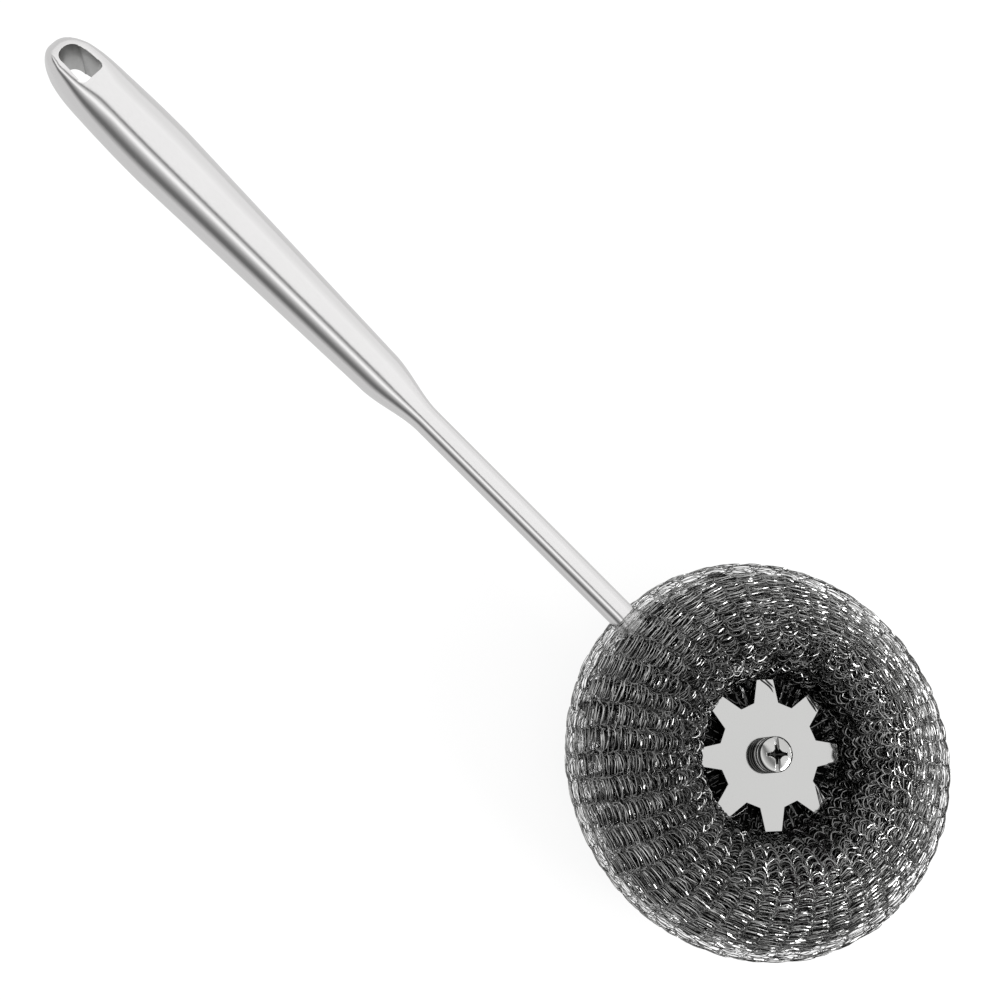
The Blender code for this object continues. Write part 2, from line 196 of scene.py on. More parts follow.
@dataclass(frozen=True)
class PaintedWireShade:
    """Painted shade on the wire of the scourer: darker towards the clamp and the rim, and in the grooves
    between the ribs.
    """

    # The middle of the painted shade lies a little to the side of the clamp's axis.
    middle: tuple[float, float] = (-5.9 * MM, -5.4 * MM)
    reach: float = 0.060
    # Distances from that middle, each with the share of the finish's tone that holds there: painted shade
    # near the clamp and at the rim.
    tones: tuple[tuple[float, float], ...] = (
        (0.012, 0.16), (0.018, 0.24), (0.023, 0.34), (0.029, 0.62), (0.035, 0.92),
        (0.044, 1.0), (0.048, 0.72), (0.053, 0.40), (0.058, 0.30),
    )
    # The grooves between the ribs are painted dark as shade outside the dimple, about the middle of the
    # ring's oval.
    rib_middle: tuple[float, float] = (0.6 * MM, -0.6 * MM)
    groove_start: float = 0.030
    groove_fade: float = 0.010
    groove_depth: float = 0.64

    def share(self, tree: bpy.types.NodeTree, place: bpy.types.NodeSocket, axis_x: float) -> Term:
        """Share of the wire's tone that the painted shade leaves.

        Args:
            tree: Tree that takes the nodes.
            place: Object coordinates.
            axis_x: Place of the clamp's axis along X.

        Returns:
            The share, 1 where no shade is painted.
        """
        part = add_node(tree, "ShaderNodeSeparateXYZ", {0: place}).outputs
        along = Term(tree, part[0]) - (axis_x + self.middle[0])
        across = Term(tree, part[1]) - self.middle[1]
        distance = (along * along + across * across).apply("SQRT") / self.reach
        patch = add_node(tree, "ShaderNodeValToRGB", {0: distance.socket})
        fill_stops(patch.color_ramp.elements, [(spot / self.reach, tone) for spot, tone in self.tones])
        ahead = Term(tree, part[0]) - (axis_x + self.rib_middle[0])
        aside = Term(tree, part[1]) - self.rib_middle[1]
        radius = (ahead * ahead + aside * aside).apply("SQRT")
        groove = ((aside.apply("ARCTAN2", ahead) * float(RIBS)).apply("COSINE") - 1.0) * -0.5
        outside = ((radius - self.groove_start) / self.groove_fade).within(0.0, 1.0)
        ribbed = outside * (groove * -self.groove_depth + self.groove_depth / 2) + 1.0
        return Term(tree, patch.outputs[0]) * ribbed


@dataclass(frozen=True)
class Steel:
    """Stainless steel with one surface finish."""

    name: str
    pale: str
    dull: str
    roughness: float
    grain: Grain
    grain_size: float
    relief: float
    # Painted shade that darkens the colour, as on the wire of the scourer.
    painted_shade: PaintedWireShade | None = None
    # Handling leaves soft patches of this size, a little duller than the rest.
    patch_size: float = 12 * MM
    # Where most of the grain's noise lies, and the shares of the roughness that it gives there.
    noise_span: tuple[float, float] = (0.3, 0.7)
    roughness_span: tuple[float, float] = (0.85, 1.15)

    def material(self, axis_x: float = 0.0) -> bpy.types.Material:
        """Build the finish as a node material on Object coordinates.

        Args:
            axis_x: Place of the clamp's axis along X, from which the painted shade is counted.

        Returns:
            The material.
        """
        made = bpy.data.materials.new(self.name)
        made.use_nodes = True
        tree = made.node_tree
        shader = tree.nodes["Principled BSDF"]
        shader.inputs["Metallic"].default_value = 1.0
        place = add_node(tree, "ShaderNodeTexCoord").outputs["Object"]
        stretch = (self.grain.value, 1.0, 1.0)
        grain_place = add_node(tree, "ShaderNodeMapping", {"Vector": place, "Scale": stretch})
        grain = add_node(
            tree,
            "ShaderNodeTexNoise",
            {"Vector": grain_place.outputs[0], "Scale": 1.0 / self.grain_size, "Detail": 4.0},
        )
        patches = add_node(
            tree, "ShaderNodeTexNoise", {"Vector": place, "Scale": 1.0 / self.patch_size, "Detail": 2.0}
        )
        colour = add_node(
            tree,
            "ShaderNodeMix",
            # A Mix node holds sockets of each kind under one name, so the colours go by number.
            {"Factor": patches.outputs[0], 6: linear(self.dull), 7: linear(self.pale)},
            data_type="RGBA",
        )
        shown = colour.outputs[2]
        # The colour is darkened here by the painted shade.
        if self.painted_shade:
            share = self.painted_shade.share(tree, place, axis_x).socket
            shaded = add_node(tree, "ShaderNodeVectorMath", {0: shown, 1: share}, operation="MULTIPLY")
            shown = shaded.outputs[0]
        tree.links.new(shown, shader.inputs["Base Color"])
        rough = add_node(
            tree,
            "ShaderNodeMapRange",
            {
                "Value": grain.outputs[0],
                "From Min": self.noise_span[0],
                "From Max": self.noise_span[1],
                "To Min": self.roughness * self.roughness_span[0],
                "To Max": self.roughness * self.roughness_span[1],
            },
        )
        tree.links.new(rough.outputs[0], shader.inputs["Roughness"])
        bump = add_node(
            tree,
            "ShaderNodeBump",
            {"Height": grain.outputs[0], "Strength": self.relief, "Distance": self.grain_size / 4},
        )
        tree.links.new(bump.outputs[0], shader.inputs["Normal"])
        return made


# Stainless tube, formed and then satin blasted: even pale grey with a soft sheen and no clear lines.
SATIN_TUBE = Steel("Satin stainless tube", "#dedddd", "#dad9d9", 0.15, Grain.SATIN, 0.30 * MM, 0.06)
# The liner of the hanging slot, left as it was pressed: duller and darker than the satin outside.
SLOT_LINER = Steel("Pressed slot liner", "#bdbdbc", "#a9a9a8", 0.34, Grain.EVEN, 0.5 * MM, 0.06)
# Stainless sheet, stamped and polished flat: a clear but grey mirror with hardly any rolling lines.
STAMPED_SHEET = Steel("Polished stainless sheet", "#bebebd", "#bcbcbb", 0.09, Grain.ROLLED, 0.15 * MM, 0.004)
# Stainless wire, cold drawn and knitted: dark grey with sharp glints along each loop, and painted shade
# towards the clamp, the rim and the grooves between the ribs.
DRAWN_WIRE = Steel("Drawn stainless wire", "#c2c2c1", "#90908f", 0.13, Grain.EVEN, 2.0 * MM, 0.0, PaintedWireShade())
# The same wire in the inner layer, coloured darker as painted shade where less light reaches, with the same
# painted shade towards the clamp, the rim and the grooves.
SHADED_WIRE = Steel("Shaded inner wire", "#7c7c7b", "#545453", 0.18, Grain.EVEN, 2.0 * MM, 0.0, PaintedWireShade())
# The heart of the knit, where hardly any light reaches: painted near black as shade, and without shine.
DEEP_WIRE = Steel("Deep layers of wire", "#181818", "#070707", 0.45, Grain.EVEN, 0.9 * MM, 1.0)
# The punched recess of the screw: dark grey as painted shade in its hollow, and dull.
RECESS_SHADE_STEEL = Steel("Recess steel painted dark as shade", "#424241", "#2e2e2d", 0.30, Grain.EVEN, 0.3 * MM, 0.05)
# Machine screw steel, cold headed and nickel bright: mirror-like with a slight haze.
BRIGHT_FASTENER = Steel("Bright fastener steel", "#c8c8c6", "#b4b4b3", 0.13, Grain.EVEN, 0.3 * MM, 0.03)
# The floor of the driver slot, as the saw left it: flat mid grey.
SAWN_SLOT = Steel("Sawn slot floor", "#aeaead", "#9a9a99", 0.42, Grain.EVEN, 0.3 * MM, 0.03)
# Washer steel, tumbled bright, with its top and rounded rims kept pale as a painted highlight against the
# sides painted dark as shade.
TUMBLED_LIT_STEEL = Steel("Tumbled washer steel with painted highlight", "#d6d6d4", "#c2c2c1", 0.14, Grain.EVEN, 0.3 * MM, 0.05)
# The sides of the head and the rings, without polish: painted near black as shade between the bright rims.
SIDE_SHADE_STEEL = Steel("Side steel painted dark as shade", "#434342", "#333332", 0.26, Grain.EVEN, 0.3 * MM, 0.05)


def smooth_step(value: float, start: float, end: float) -> float:
    """Go from 0 at start to 1 at end, with level ends.

    Args:
        value: Place between start and end.
        start: Where the result is 0.
        end: Where the result is 1.

    Returns:
        The eased share.
    """
    share = min(max((value - start) / (end - start), 0.0), 1.0)
    return share * share * (3.0 - 2.0 * share)


def rotated(x: float, y: float, turn: float) -> tuple[float, float]:
    """Turn a point about the origin.

    Args:
        x: Its first coordinate.
        y: Its second coordinate.
        turn: Angle in radians.

    Returns:
        The turned point.
    """
    return x * math.cos(turn) - y * math.sin(turn), x * math.sin(turn) + y * math.cos(turn)


def placed(name: str, data: bpy.types.ID) -> bpy.types.Object:
    """Put a new object into the scene.

    Args:
        name: Its name.
        data: Mesh, curve, lamp or camera that it shows.

    Returns:
        The object, at the origin.
    """
    thing = bpy.data.objects.new(name, data)
    bpy.context.scene.collection.objects.link(thing)
    return thing


def new_piece(name: str, mesh: bpy.types.Mesh, material: bpy.types.Material) -> bpy.types.Object:
    """Make a piece of the visual model.

    Args:
        name: Name of the piece.
        mesh: Its mesh, in place.
        material: Its finish.

    Returns:
        The object, at the origin.
    """
    mesh.materials.clear()
    mesh.materials.append(material)
    LOG.info("%s: %d faces", name, len(mesh.polygons))
    return placed(name, mesh)


def mesh_from_rings(name: str, rings: list[list[tuple[float, float, float]]], closed: bool) -> bpy.types.Mesh:
    """Join rings of equally many points into a body.

    Args:
        name: Name of the mesh.
        rings: Rings of points, in order.
        closed: True to join the last ring to the first, False to cap both.

    Returns:
        The mesh, with its faces outwards.
    """
    mesh = bpy.data.meshes.new(name)
    bm = bmesh.new()
    loops = [[bm.verts.new(point) for point in ring] for ring in rings]
    pairs = list(zip(loops, loops[1:]))
    if closed:
        pairs.append((loops[-1], loops[0]))
    else:
        bm.faces.new(loops[0])
        bm.faces.new(loops[-1])
    for first, second in pairs:
        for index in range(len(first)):
            after = (index + 1) % len(first)
            bm.faces.new((first[index], first[after], second[after], second[index]))
    bmesh.ops.recalc_face_normals(bm, faces=bm.faces)
    bm.to_mesh(mesh)
    bm.free()
    return mesh


def block(name: str, place: Matrix) -> bpy.types.Mesh:
    """Cube with a side of 1, stretched and moved into place.

    Args:
        name: Name of the mesh.
        place: Its size, turn and place.

    Returns:
        The mesh.
    """
    mesh = bpy.data.meshes.new(name)
    bm = bmesh.new()
    bmesh.ops.create_cube(bm, size=1.0)
    bm.transform(place)
    bm.to_mesh(mesh)
    bm.free()
    return mesh


def soften(mesh: bpy.types.Mesh, degrees: float) -> None:
    """Shade a mesh smooth, but for its sharp edges.

    Args:
        mesh: The mesh.
        degrees: Angle between faces from which an edge stays sharp.
    """
    mesh.shade_smooth()
    mesh.set_sharp_from_angle(angle=math.radians(degrees))


def turned(name: str, profile: list[tuple[float, float]], steps: int, axis_x: float) -> bpy.types.Mesh:
    """Turn a profile about the clamp's axis.

    Args:
        name: Name of the mesh.
        profile: Radius and height of each point, from top to bottom.
        steps: Number of flats round the axis.
        axis_x: Where the axis stands along X.

    Returns:
        The mesh, closed at the axis where the profile reaches it.
    """
    mesh = bpy.data.meshes.new(name)
    bm = bmesh.new()
    chain = [bm.verts.new((radius, 0.0, height)) for radius, height in profile]
    edges = [bm.edges.new(pair) for pair in zip(chain, chain[1:])]
    if profile[0][0] > 0.0:
        edges.append(bm.edges.new((chain[-1], chain[0])))
    bmesh.ops.spin(
        bm,
        geom=chain + edges,
        cent=(0.0, 0.0, 0.0),
        axis=(0.0, 0.0, 1.0),
        angle=math.tau,
        steps=steps,
        use_duplicate=False,
    )
    bmesh.ops.remove_doubles(bm, verts=bm.verts, dist=1e-6)
    bmesh.ops.recalc_face_normals(bm, faces=bm.faces)
    bmesh.ops.translate(bm, verts=bm.verts, vec=(axis_x, 0.0, 0.0))
    bm.to_mesh(mesh)
    bm.free()
    soften(mesh, 35)
    return mesh


def final_mesh(thing: bpy.types.Object) -> bpy.types.Mesh:
    """Plain mesh of an object as it shows, with its modifiers or its curve's thickness."""
    return bpy.data.meshes.new_from_object(thing.evaluated_get(bpy.context.evaluated_depsgraph_get()))


def applied(piece: bpy.types.Object) -> None:
    """Turn a piece's modifiers into its mesh.

    Args:
        piece: Object whose modifiers are applied.
    """
    mesh = final_mesh(piece)
    piece.modifiers.clear()
    piece.data = mesh


def cut_with(piece: bpy.types.Object, tool: bpy.types.Object, dressed: bool = True) -> None:
    """Take a tool's shape out of a piece, once the modifiers are applied.

    Args:
        piece: Piece that is cut.
        tool: Object of the shape that goes.
        dressed: True if the cut faces get the tool's finish.
    """
    cut = piece.modifiers.new(tool.name, "BOOLEAN")
    cut.object = tool
    cut.solver = "EXACT"
    if dressed:
        cut.material_mode = "TRANSFER"


def break_edges(piece: bpy.types.Object, width: float, segments: int, degrees: float) -> None:
    """Round the sharp edges of a piece, once the modifiers are applied.

    Args:
        piece: Piece with the edges.
        width: Width of the rounding.
        segments: Faces across it.
        degrees: Angle between faces from which an edge is rounded.
    """
    edge = piece.modifiers.new("edges", "BEVEL")
    edge.width = width
    edge.segments = segments
    edge.limit_method = "ANGLE"
    edge.angle_limit = math.radians(degrees)


@dataclass
class Handle:
    """The hollow satin handle, from its hanging slot to its pressed end."""

    axis_x: float
    bar_z: float = 0.0266
    reach: float = 0.2512
    # The grip, from its rounded tip to its shoulders. A power of 2 rounds the tip as an ellipse.
    tip_length: float = 0.038
    tip_power: float = 2.6
    nose_length: float = 0.0125
    nose_power: float = 2.1
    grip_width: float = 0.0177
    grip_height: float = 0.0128
    grip_end_width: float = 0.0126
    grip_end_height: float = 0.0096
    shoulder_start: float = 0.112
    shoulder_end: float = 0.130
    # The neck and the end that is pressed flat between the claw plates.
    neck_width: float = 0.0071
    neck_height: float = 0.0057
    flatten_start: float = 0.199
    flatten_end: float = 0.215
    bar_width: float = 0.0100
    bar_thickness: float = 0.0016
    # Shares of the width that are flat, above and below.
    flat_least: float = 0.15
    flat_most: float = 0.96
    flat_grip: float = 0.40
    flat_neck: float = 0.42
    flat_bar: float = 0.84
    # The hanging slot, from the tip's side on. Its lean is how far its tip end slants from top to bottom.
    slot_start: float = 0.0027
    slot_lean: float = 0.0038
    slot_length: float = 0.0108
    slot_tip_width: float = 0.0059
    slot_end_width: float = 0.0073
    slot_corner: float = 0.0014
    slot_rim: float = 0.0009
    slot_edge: float = 0.22 * MM
    # The flat about the slot fades out between these shares of the distance to the slot's end.
    slot_fade: tuple[float, float] = (0.75, 1.5)
    # Its width is averaged over this many millimetres to either side.
    slot_blur: float = 0.8
    # Softness of the creases between the flats and the sides.
    crease_slot: float = 0.0009
    crease_grip: float = 0.0017
    crease_neck: float = 0.0008
    crease_bar: float = 0.0003
    # Fullness of the sections, 2 for an ellipse. Near the tip this much is added at these distances.
    grip_fullness: float = 2.0
    neck_fullness: float = 2.3
    tip_fullness: tuple[tuple[float, float], ...] = (
        (0.0060, 2.0), (0.0090, 1.4), (0.0130, 0.9), (0.0180, 0.3), (0.0240, 0.0),
    )
    # Points of each section, before it is evened out and after, and sections along the tip.
    outline_points: int = 241
    section_points: int = 96
    points_between: int = 4
    tip_sections: int = 72

    def rounded_tip(self, distance: float, length: float, power: float) -> float:
        """Share of the full size near the tip.

        Args:
            distance: Distance from the tip.
            length: Length over which the tip rounds.
            power: Fullness of the rounding, 2 for an ellipse.

        Returns:
            The share, from near 0 to 1.
        """
        distance = min(max(distance, 0.02 * MM), length)
        return (1 - ((length - distance) / length) ** power) ** (1 / power)

    def slot_flat(self, distance: float) -> float:
        """Half width of the flat that rims the slot.

        Args:
            distance: Distance from the tip.

        Returns:
            The half width, round about the slot's tip.
        """
        centre = self.slot_start + self.slot_tip_width / 2
        if distance > centre:
            return self.slot_end_width / 2 + self.slot_rim
        radius = self.slot_tip_width / 2 + self.slot_rim
        return math.sqrt(max(radius ** 2 - (centre - distance) ** 2, 0.0))

    def size(self, distance: float) -> tuple[float, float, float, float, float]:
        """Sizes of the section at a distance from the tip.

        Args:
            distance: Distance from the tip.

        Returns:
            Width, height, share of the width that is flat, softness of the creases, and fullness.
        """
        slot_end = self.slot_start + self.slot_length
        grip = min(max((distance - self.tip_length) / (self.shoulder_start - self.tip_length), 0), 1)
        width = self.grip_width + (self.grip_end_width - self.grip_width) * grip
        height = self.grip_height + (self.grip_end_height - self.grip_height) * grip
        width *= self.rounded_tip(distance, self.tip_length, self.tip_power)
        height *= self.rounded_tip(distance, self.nose_length, self.nose_power)
        near_slot = 1 - smooth_step(distance, self.slot_fade[0] * slot_end, self.slot_fade[1] * slot_end)
        shifts = np.linspace(-self.slot_blur, self.slot_blur, 9)
        nearby = [self.slot_flat(distance + shift * MM) for shift in shifts]
        rim = min(math.hypot(float(np.mean(nearby)) / (width / 2), self.flat_least), self.flat_most)
        flat = self.flat_grip + (rim - self.flat_grip) * near_slot
        crease = self.crease_grip + (self.crease_slot - self.crease_grip) * near_slot
        neck = smooth_step(distance, self.shoulder_start, self.shoulder_end)
        width += (self.neck_width - width) * neck
        height += (self.neck_height - height) * neck
        flat += (self.flat_neck - flat) * neck
        crease += (self.crease_neck - crease) * neck
        fuller = float(np.interp(distance, *zip(*self.tip_fullness)))
        fullness = self.grip_fullness + fuller + (self.neck_fullness - self.grip_fullness) * neck
        bar = smooth_step(distance, self.flatten_start, self.flatten_end)
        width += (self.bar_width - width) * bar
        height += (self.bar_thickness - height) * bar
        flat += (self.flat_bar - flat) * bar
        crease += (self.crease_bar - crease) * bar
        return width, height, flat, crease, fullness

    def section(self, distance: float) -> list[tuple[float, float, float]]:
        """Oval with flat top and bottom and softened creases.

        Args:
            distance: Distance from the tip.

        Returns:
            Points round the section, in place.
        """
        width, height, flat, crease, fullness = self.size(distance)
        power = 2 / fullness
        corner = math.acos(flat ** (1 / power))
        oval = height / 2 / (1 - flat ** fullness) ** (1 / fullness)
        angles = np.linspace(corner, -corner, self.outline_points)
        across = width / 2 * np.cos(angles) ** power
        up = oval * np.sign(np.sin(angles)) * np.abs(np.sin(angles)) ** power
        right = np.stack([across, up], axis=1)
        ring = np.concatenate([right, -right, right[:1]])
        step = np.hypot(*np.diff(ring, axis=0).T)
        along = np.concatenate([[0.0], np.cumsum(step)])
        count = self.section_points * self.points_between
        places = np.linspace(0.0, along[-1], count, endpoint=False)
        even = np.stack([np.interp(places, along, ring[:, axis]) for axis in (0, 1)], axis=1)
        # A running average softens each crease as the press leaves it.
        reach = min(max(1, round(crease / (along[-1] / count))), count // 16)
        weights = np.hanning(2 * reach + 3)[1:-1]
        weights /= weights.sum()
        padded = np.concatenate([even[-reach:], even, even[:reach]])
        soft = np.stack([np.convolve(padded[:, axis], weights, "valid") for axis in (0, 1)], axis=1)
        x = self.axis_x - self.reach + distance
        return [(x, float(y), self.bar_z + float(z)) for y, z in soft[::self.points_between]]

    def stations(self) -> list[float]:
        """Distances from the tip at which sections stand.

        Returns:
            The distances, in order.
        """
        tip = [self.tip_length * (step / self.tip_sections) ** 2 for step in range(self.tip_sections)]
        grip = np.linspace(self.tip_length, self.shoulder_start - 2 * MM, 14)
        shoulder = np.linspace(self.shoulder_start, self.shoulder_end, 28)
        neck = np.linspace(self.shoulder_end + 2 * MM, self.flatten_start - 1 * MM, 7)
        flatten = np.linspace(self.flatten_start, self.flatten_end, 16)
        return [*tip, *grip.tolist(), *shoulder.tolist(), *neck.tolist(), *flatten.tolist(), self.reach]

    def slot_ring(self, level: float) -> list[tuple[float, float, float]]:
        """Bullet shape of the slot, round towards the tip, at one level.

        Args:
            level: Height above the handle's middle.

        Returns:
            Points of the outline, in place.
        """
        tip_x = self.axis_x - self.reach
        start = self.slot_start + self.slot_lean * (0.5 - level / self.grip_height)
        radius = self.slot_tip_width / 2
        end = self.slot_start + self.slot_length - self.slot_corner
        side = self.slot_end_width / 2 - self.slot_corner
        arcs = (
            (start + radius, 0.0, radius, 90, 270, 28),
            (end, -side, self.slot_corner, 270, 360, 8),
            (end, side, self.slot_corner, 0, 90, 8),
        )
        points = []
        for x, y, bend, first, last, steps in arcs:
            for step in range(steps + 1):
                angle = math.radians(first + (last - first) * step / steps)
                spot = (tip_x + x + bend * math.cos(angle), y + bend * math.sin(angle))
                points.append((*spot, self.bar_z + level))
        return points

    def build(self) -> bpy.types.Object:
        """Loft the handle and cut its slot.

        Returns:
            The handle's piece.
        """
        mesh = mesh_from_rings("handle", [self.section(place) for place in self.stations()], False)
        handle = new_piece("handle", mesh, SATIN_TUBE.material())
        rings = [self.slot_ring(level) for level in (-self.grip_height, self.grip_height)]
        tool = new_piece("slot_tool", mesh_from_rings("slot_tool", rings, False), SLOT_LINER.material())
        cut_with(handle, tool)
        break_edges(handle, self.slot_edge, 3, 50)
        applied(handle)
        bpy.data.objects.remove(tool, do_unlink=True)
        soften(handle.data, 38)
        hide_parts("handle_shell", "hang_slot_liner")
        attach(handle, "brush")
        return handle


@dataclass(frozen=True)
class KnitLayer:
    """One layer of the knitted wire: how deep it lies, how it is turned, and its rows of loops."""

    name: str
    inset: float
    seed: float
    turn: float
    rows: int
    # Share of the half section that the layer leaves bare at either hub.
    hub_share: float
    finish: Steel


@dataclass
class KnitRing:
    """The scourer: knitted wire, gathered into a ribbed ring."""

    axis_x: float
    middle_z: float = 0.024
    half_length: float = 0.0520
    half_width: float = 0.0493
    # How far the middle of the oval rim lies off the clamp's axis.
    drift: tuple[float, float] = (0.8 * MM, -0.8 * MM)
    crest_radius: float = 0.0315
    half_thickness: float = 0.0236
    hub_radius: float = 0.0120
    floor_radius: float = 0.0194
    # Levels of the floors of both dimples, outwards from the ring's middle.
    front_floor: float = 0.0050
    rear_floor: float = -0.0010
    # Shares of a layer's inset by which its floors end farther out and lie deeper.
    floor_shift: tuple[float, float] = (0.9, 0.3)
    rib_depth: float = 1.3 * MM
    steps_per_loop: int = 10
    bands: int = 3
    wire_radius: float = 0.125 * MM
    wire_flatness: float = 0.5
    # Points crowd on the heads of the loops, and the wire sways beside its column, in loop widths.
    head_crowding: float = 0.25
    sway: tuple[float, float] = (0.24, 0.05)
    # Reach of a loop to either side of its row, in rows, and how much more the claw plates pull it.
    loop_reach: float = 1.2
    hub_pull: float = 1.6
    hub_zone: tuple[float, float] = (0.38, 0.10)
    rim_stretch: float = 0.35
    # Shares by which the folds, the layer's turn and the wandering fade out at the rim.
    rim_flattening: float = 0.8
    rim_turn_loss: float = 0.85
    rim_wander_loss: float = 0.30
    # The folds of the ribs set in outside the dimple's floor.
    fold_start: float = 1 * MM
    fold_fade: float = 8 * MM
    # A loop's heads and feet stand proud of its legs.
    bulge: float = 0.30 * MM
    # Wandering of the wire: along its row in loop widths, across it in rows, and outwards.
    wander_along: float = 0.58
    wander_across: float = 1.4
    wander_out: float = 0.75 * MM
    wander_gain: float = 2.6
    # Noise cells round the ring and from row to row.
    wander_cells: tuple[float, float] = (9.0, 0.95)
    # The core, painted near black as shade, lies this deep, its rim reaches out in the grooves, and each
    # rib's reach varies.
    core_inset: float = 3.9 * MM
    core_steps: int = 8
    core_swell: float = 8.0 * MM
    core_setback: float = 2.6 * MM
    core_sharpness: float = 2.2
    core_spread: tuple[float, float] = (-1.6 * MM, 1.2 * MM)
    core_seed: int = 7
    # Points of the half section along the floor, over the crest's inside and over its outside.
    path_steps: tuple[int, int, int] = (6, 24, 30)
    plate_top: float = 0.0310
    stray_thickness: float = 1.2
    # Tooth angle in degrees, then knots: millimetres along the tooth, across it, and above the plate.
    strays: tuple[tuple, ...] = (
        (135, (20.6, 1.8, 0.0), (19.3, 1.4, 0.3), (18.2, -0.2, 0.3), (17.0, -1.6, 0.3), (15.0, -2.5, -0.4)),
        (135, (20.4, 0.6, 0.0), (19.0, -0.3, 0.3), (17.8, -1.6, 0.3), (16.6, -2.8, -0.3)),
        (90, (18.6, 3.4, -0.8), (18.2, 1.7, 0.2), (17.9, 0.0, 0.4), (17.6, -1.5, 0.3), (17.0, -3.2, -0.6)),
        (90, (19.6, 2.8, -0.6), (18.9, 1.4, 0.3), (18.5, -0.2, 0.4), (18.0, -2.4, -0.2), (16.9, -3.4, -0.8)),
        (45, (15.4, -2.7, -0.3), (17.4, -2.5, 0.2), (19.8, -2.1, 0.4), (22.2, -1.3, 0.6)),
        (45, (20.8, -3.0, 0.4), (20.0, -1.2, 0.6), (19.8, 0.4, 0.6), (20.6, 2.4, 0.8)),
        (0, (13.4, 3.3, -0.6), (15.2, 2.6, 0.2), (17.0, 1.5, 0.4), (18.9, 0.2, 0.4), (20.6, -0.6, 0.2)),
        (0, (14.2, 3.6, -0.6), (16.0, 2.8, 0.1), (17.8, 1.9, 0.4), (19.6, 1.2, 0.4)),
        (-90, (20.2, -1.4, 0.2), (19.8, 0.8, 0.4), (18.9, 2.7, 0.0), (16.6, 3.8, -0.6), (13.4, 4.6, -1.0)),
        (-45, (20.6, 2.9, 0.2), (19.8, 1.0, 0.4), (20.0, -1.2, 0.4), (20.9, -2.8, 0.2)),
    )
    # The handle's neck: its level above the ring's middle, the wire's distance from it, and where it ends.
    neck_z: float = 0.0026
    neck_clear: float = 0.0041
    neck_end: float = -0.020
    layers: tuple[KnitLayer, ...] = (
        KnitLayer("knit_outer", 0.0 * MM, 1.0, 0.0, 138, 0.0, DRAWN_WIRE),
        KnitLayer("knit_second", 1.3 * MM, 2.0, 0.030, 130, 0.04, DRAWN_WIRE),
        KnitLayer("knit_third", 2.8 * MM, 3.0, -0.036, 120, 0.07, SHADED_WIRE),
    )

    def path(self, inset: float, outer_radius: float) -> list[tuple[float, float]]:
        """Half section of the ring, from the front hub over the rim to the rear hub.

        Args:
            inset: How far inside the outer surface the path runs, and twice as far at the rim.
            outer_radius: Distance of the rim from the axis.

        Returns:
            Radius and height above the ring's middle for each point.
        """
        outer = outer_radius - self.crest_radius - 2.0 * inset
        thick = self.half_thickness - inset
        outward, deeper = self.floor_shift
        floor_end = self.floor_radius + outward * inset
        flat_steps, inner_steps, outer_steps = self.path_steps
        points = []
        for side, floor in ((1, self.front_floor), (-1, self.rear_floor)):
            level = side * floor - inset * deeper
            start = math.asin(level / thick)
            inner = (self.crest_radius - self.floor_radius - inset * outward) / math.cos(start)
            half = []
            for step in range(flat_steps):
                radius = self.hub_radius + (floor_end - self.hub_radius) * step / flat_steps
                half.append((radius, side * level))
            for step in range(inner_steps + 1):
                lift = start + (math.pi / 2 - start) * step / inner_steps
                half.append((self.crest_radius - inner * math.cos(lift), side * thick * math.sin(lift)))
            for step in range(1, outer_steps + 1):
                lift = math.pi / 2 * (1 - step / outer_steps)
                half.append((self.crest_radius + outer * math.cos(lift), side * thick * math.sin(lift)))
            points += half if side > 0 else list(reversed(half))[1:]
        return points

    def guide(self, inset: float) -> bpy.types.Object:
        """Curve of the half section, for the knit to follow.

        Args:
            inset: How far inside the outer surface it runs.

        Returns:
            A curve object in the XZ plane, about the ring's middle.
        """
        curve = bpy.data.curves.new("knit_guide", "CURVE")
        curve.dimensions = "3D"
        points = self.path(inset, self.half_length)
        spline = curve.splines.new("POLY")
        spline.points.add(len(points) - 1)
        for point, (radius, height) in zip(spline.points, points):
            point.co = (radius, 0.0, height, 1.0)
        return placed("knit_guide", curve)

    def knit_tree(self) -> bpy.types.GeometryNodeTree:
        """Node tree that winds one wire into rows of interlocked loops.

        Returns:
            The tree, whose inputs give the guide, the counts and the sizes.
        """
        tree = bpy.data.node_groups.new("Knitted wire", "GeometryNodeTree")
        face = tree.interface
        face.new_socket("Geometry", in_out="INPUT", socket_type="NodeSocketGeometry")
        face.new_socket("Guide", in_out="INPUT", socket_type="NodeSocketObject")
        face.new_socket("Material", in_out="INPUT", socket_type="NodeSocketMaterial")
        for name in ("Points", "First Point"):
            face.new_socket(name, in_out="INPUT", socket_type="NodeSocketInt")
        for name in ("Rows", "Turn", "Seed", "Wire Radius", "Wire Flatness", "Rib Depth", "Hub Share"):
            face.new_socket(name, in_out="INPUT", socket_type="NodeSocketFloat")
        face.new_socket("Geometry", in_out="OUTPUT", socket_type="NodeSocketGeometry")
        given = add_node(tree, "NodeGroupInput").outputs

        points = add_node(tree, "GeometryNodePoints", {"Count": given["Points"]})
        index = Term(tree, add_node(tree, "GeometryNodeInputIndex").outputs[0])
        place = index + Term(tree, given["First Point"])
        row = place / float(RIBS * self.steps_per_loop)
        even = place * (math.tau / self.steps_per_loop)
        # Points stand closer together on the wide heads, so that those stay round.
        phase = even - (even * 2.0).apply("SINE") * self.head_crowding
        wobble = self.wander(tree, row, given)

        # The heads of the loops are wide, and the legs and the feet crowd between two ribs.
        loop_width = math.tau / RIBS
        once, twice = self.sway[0] * loop_width, self.sway[1] * loop_width
        sway = (phase * 2.0).apply("SINE") * twice + phase.apply("SINE") * once
        angle = phase * (loop_width / math.tau) + sway
        # The rows stand close on the faces of the ring, and the rim and the hub stretch them apart.
        even_share = row / Term(tree, given["Rows"])
        stretch = (even_share * (2 * math.tau)).apply("SINE") * (self.rim_stretch / (2 * math.tau))
        plain_share = even_share + stretch
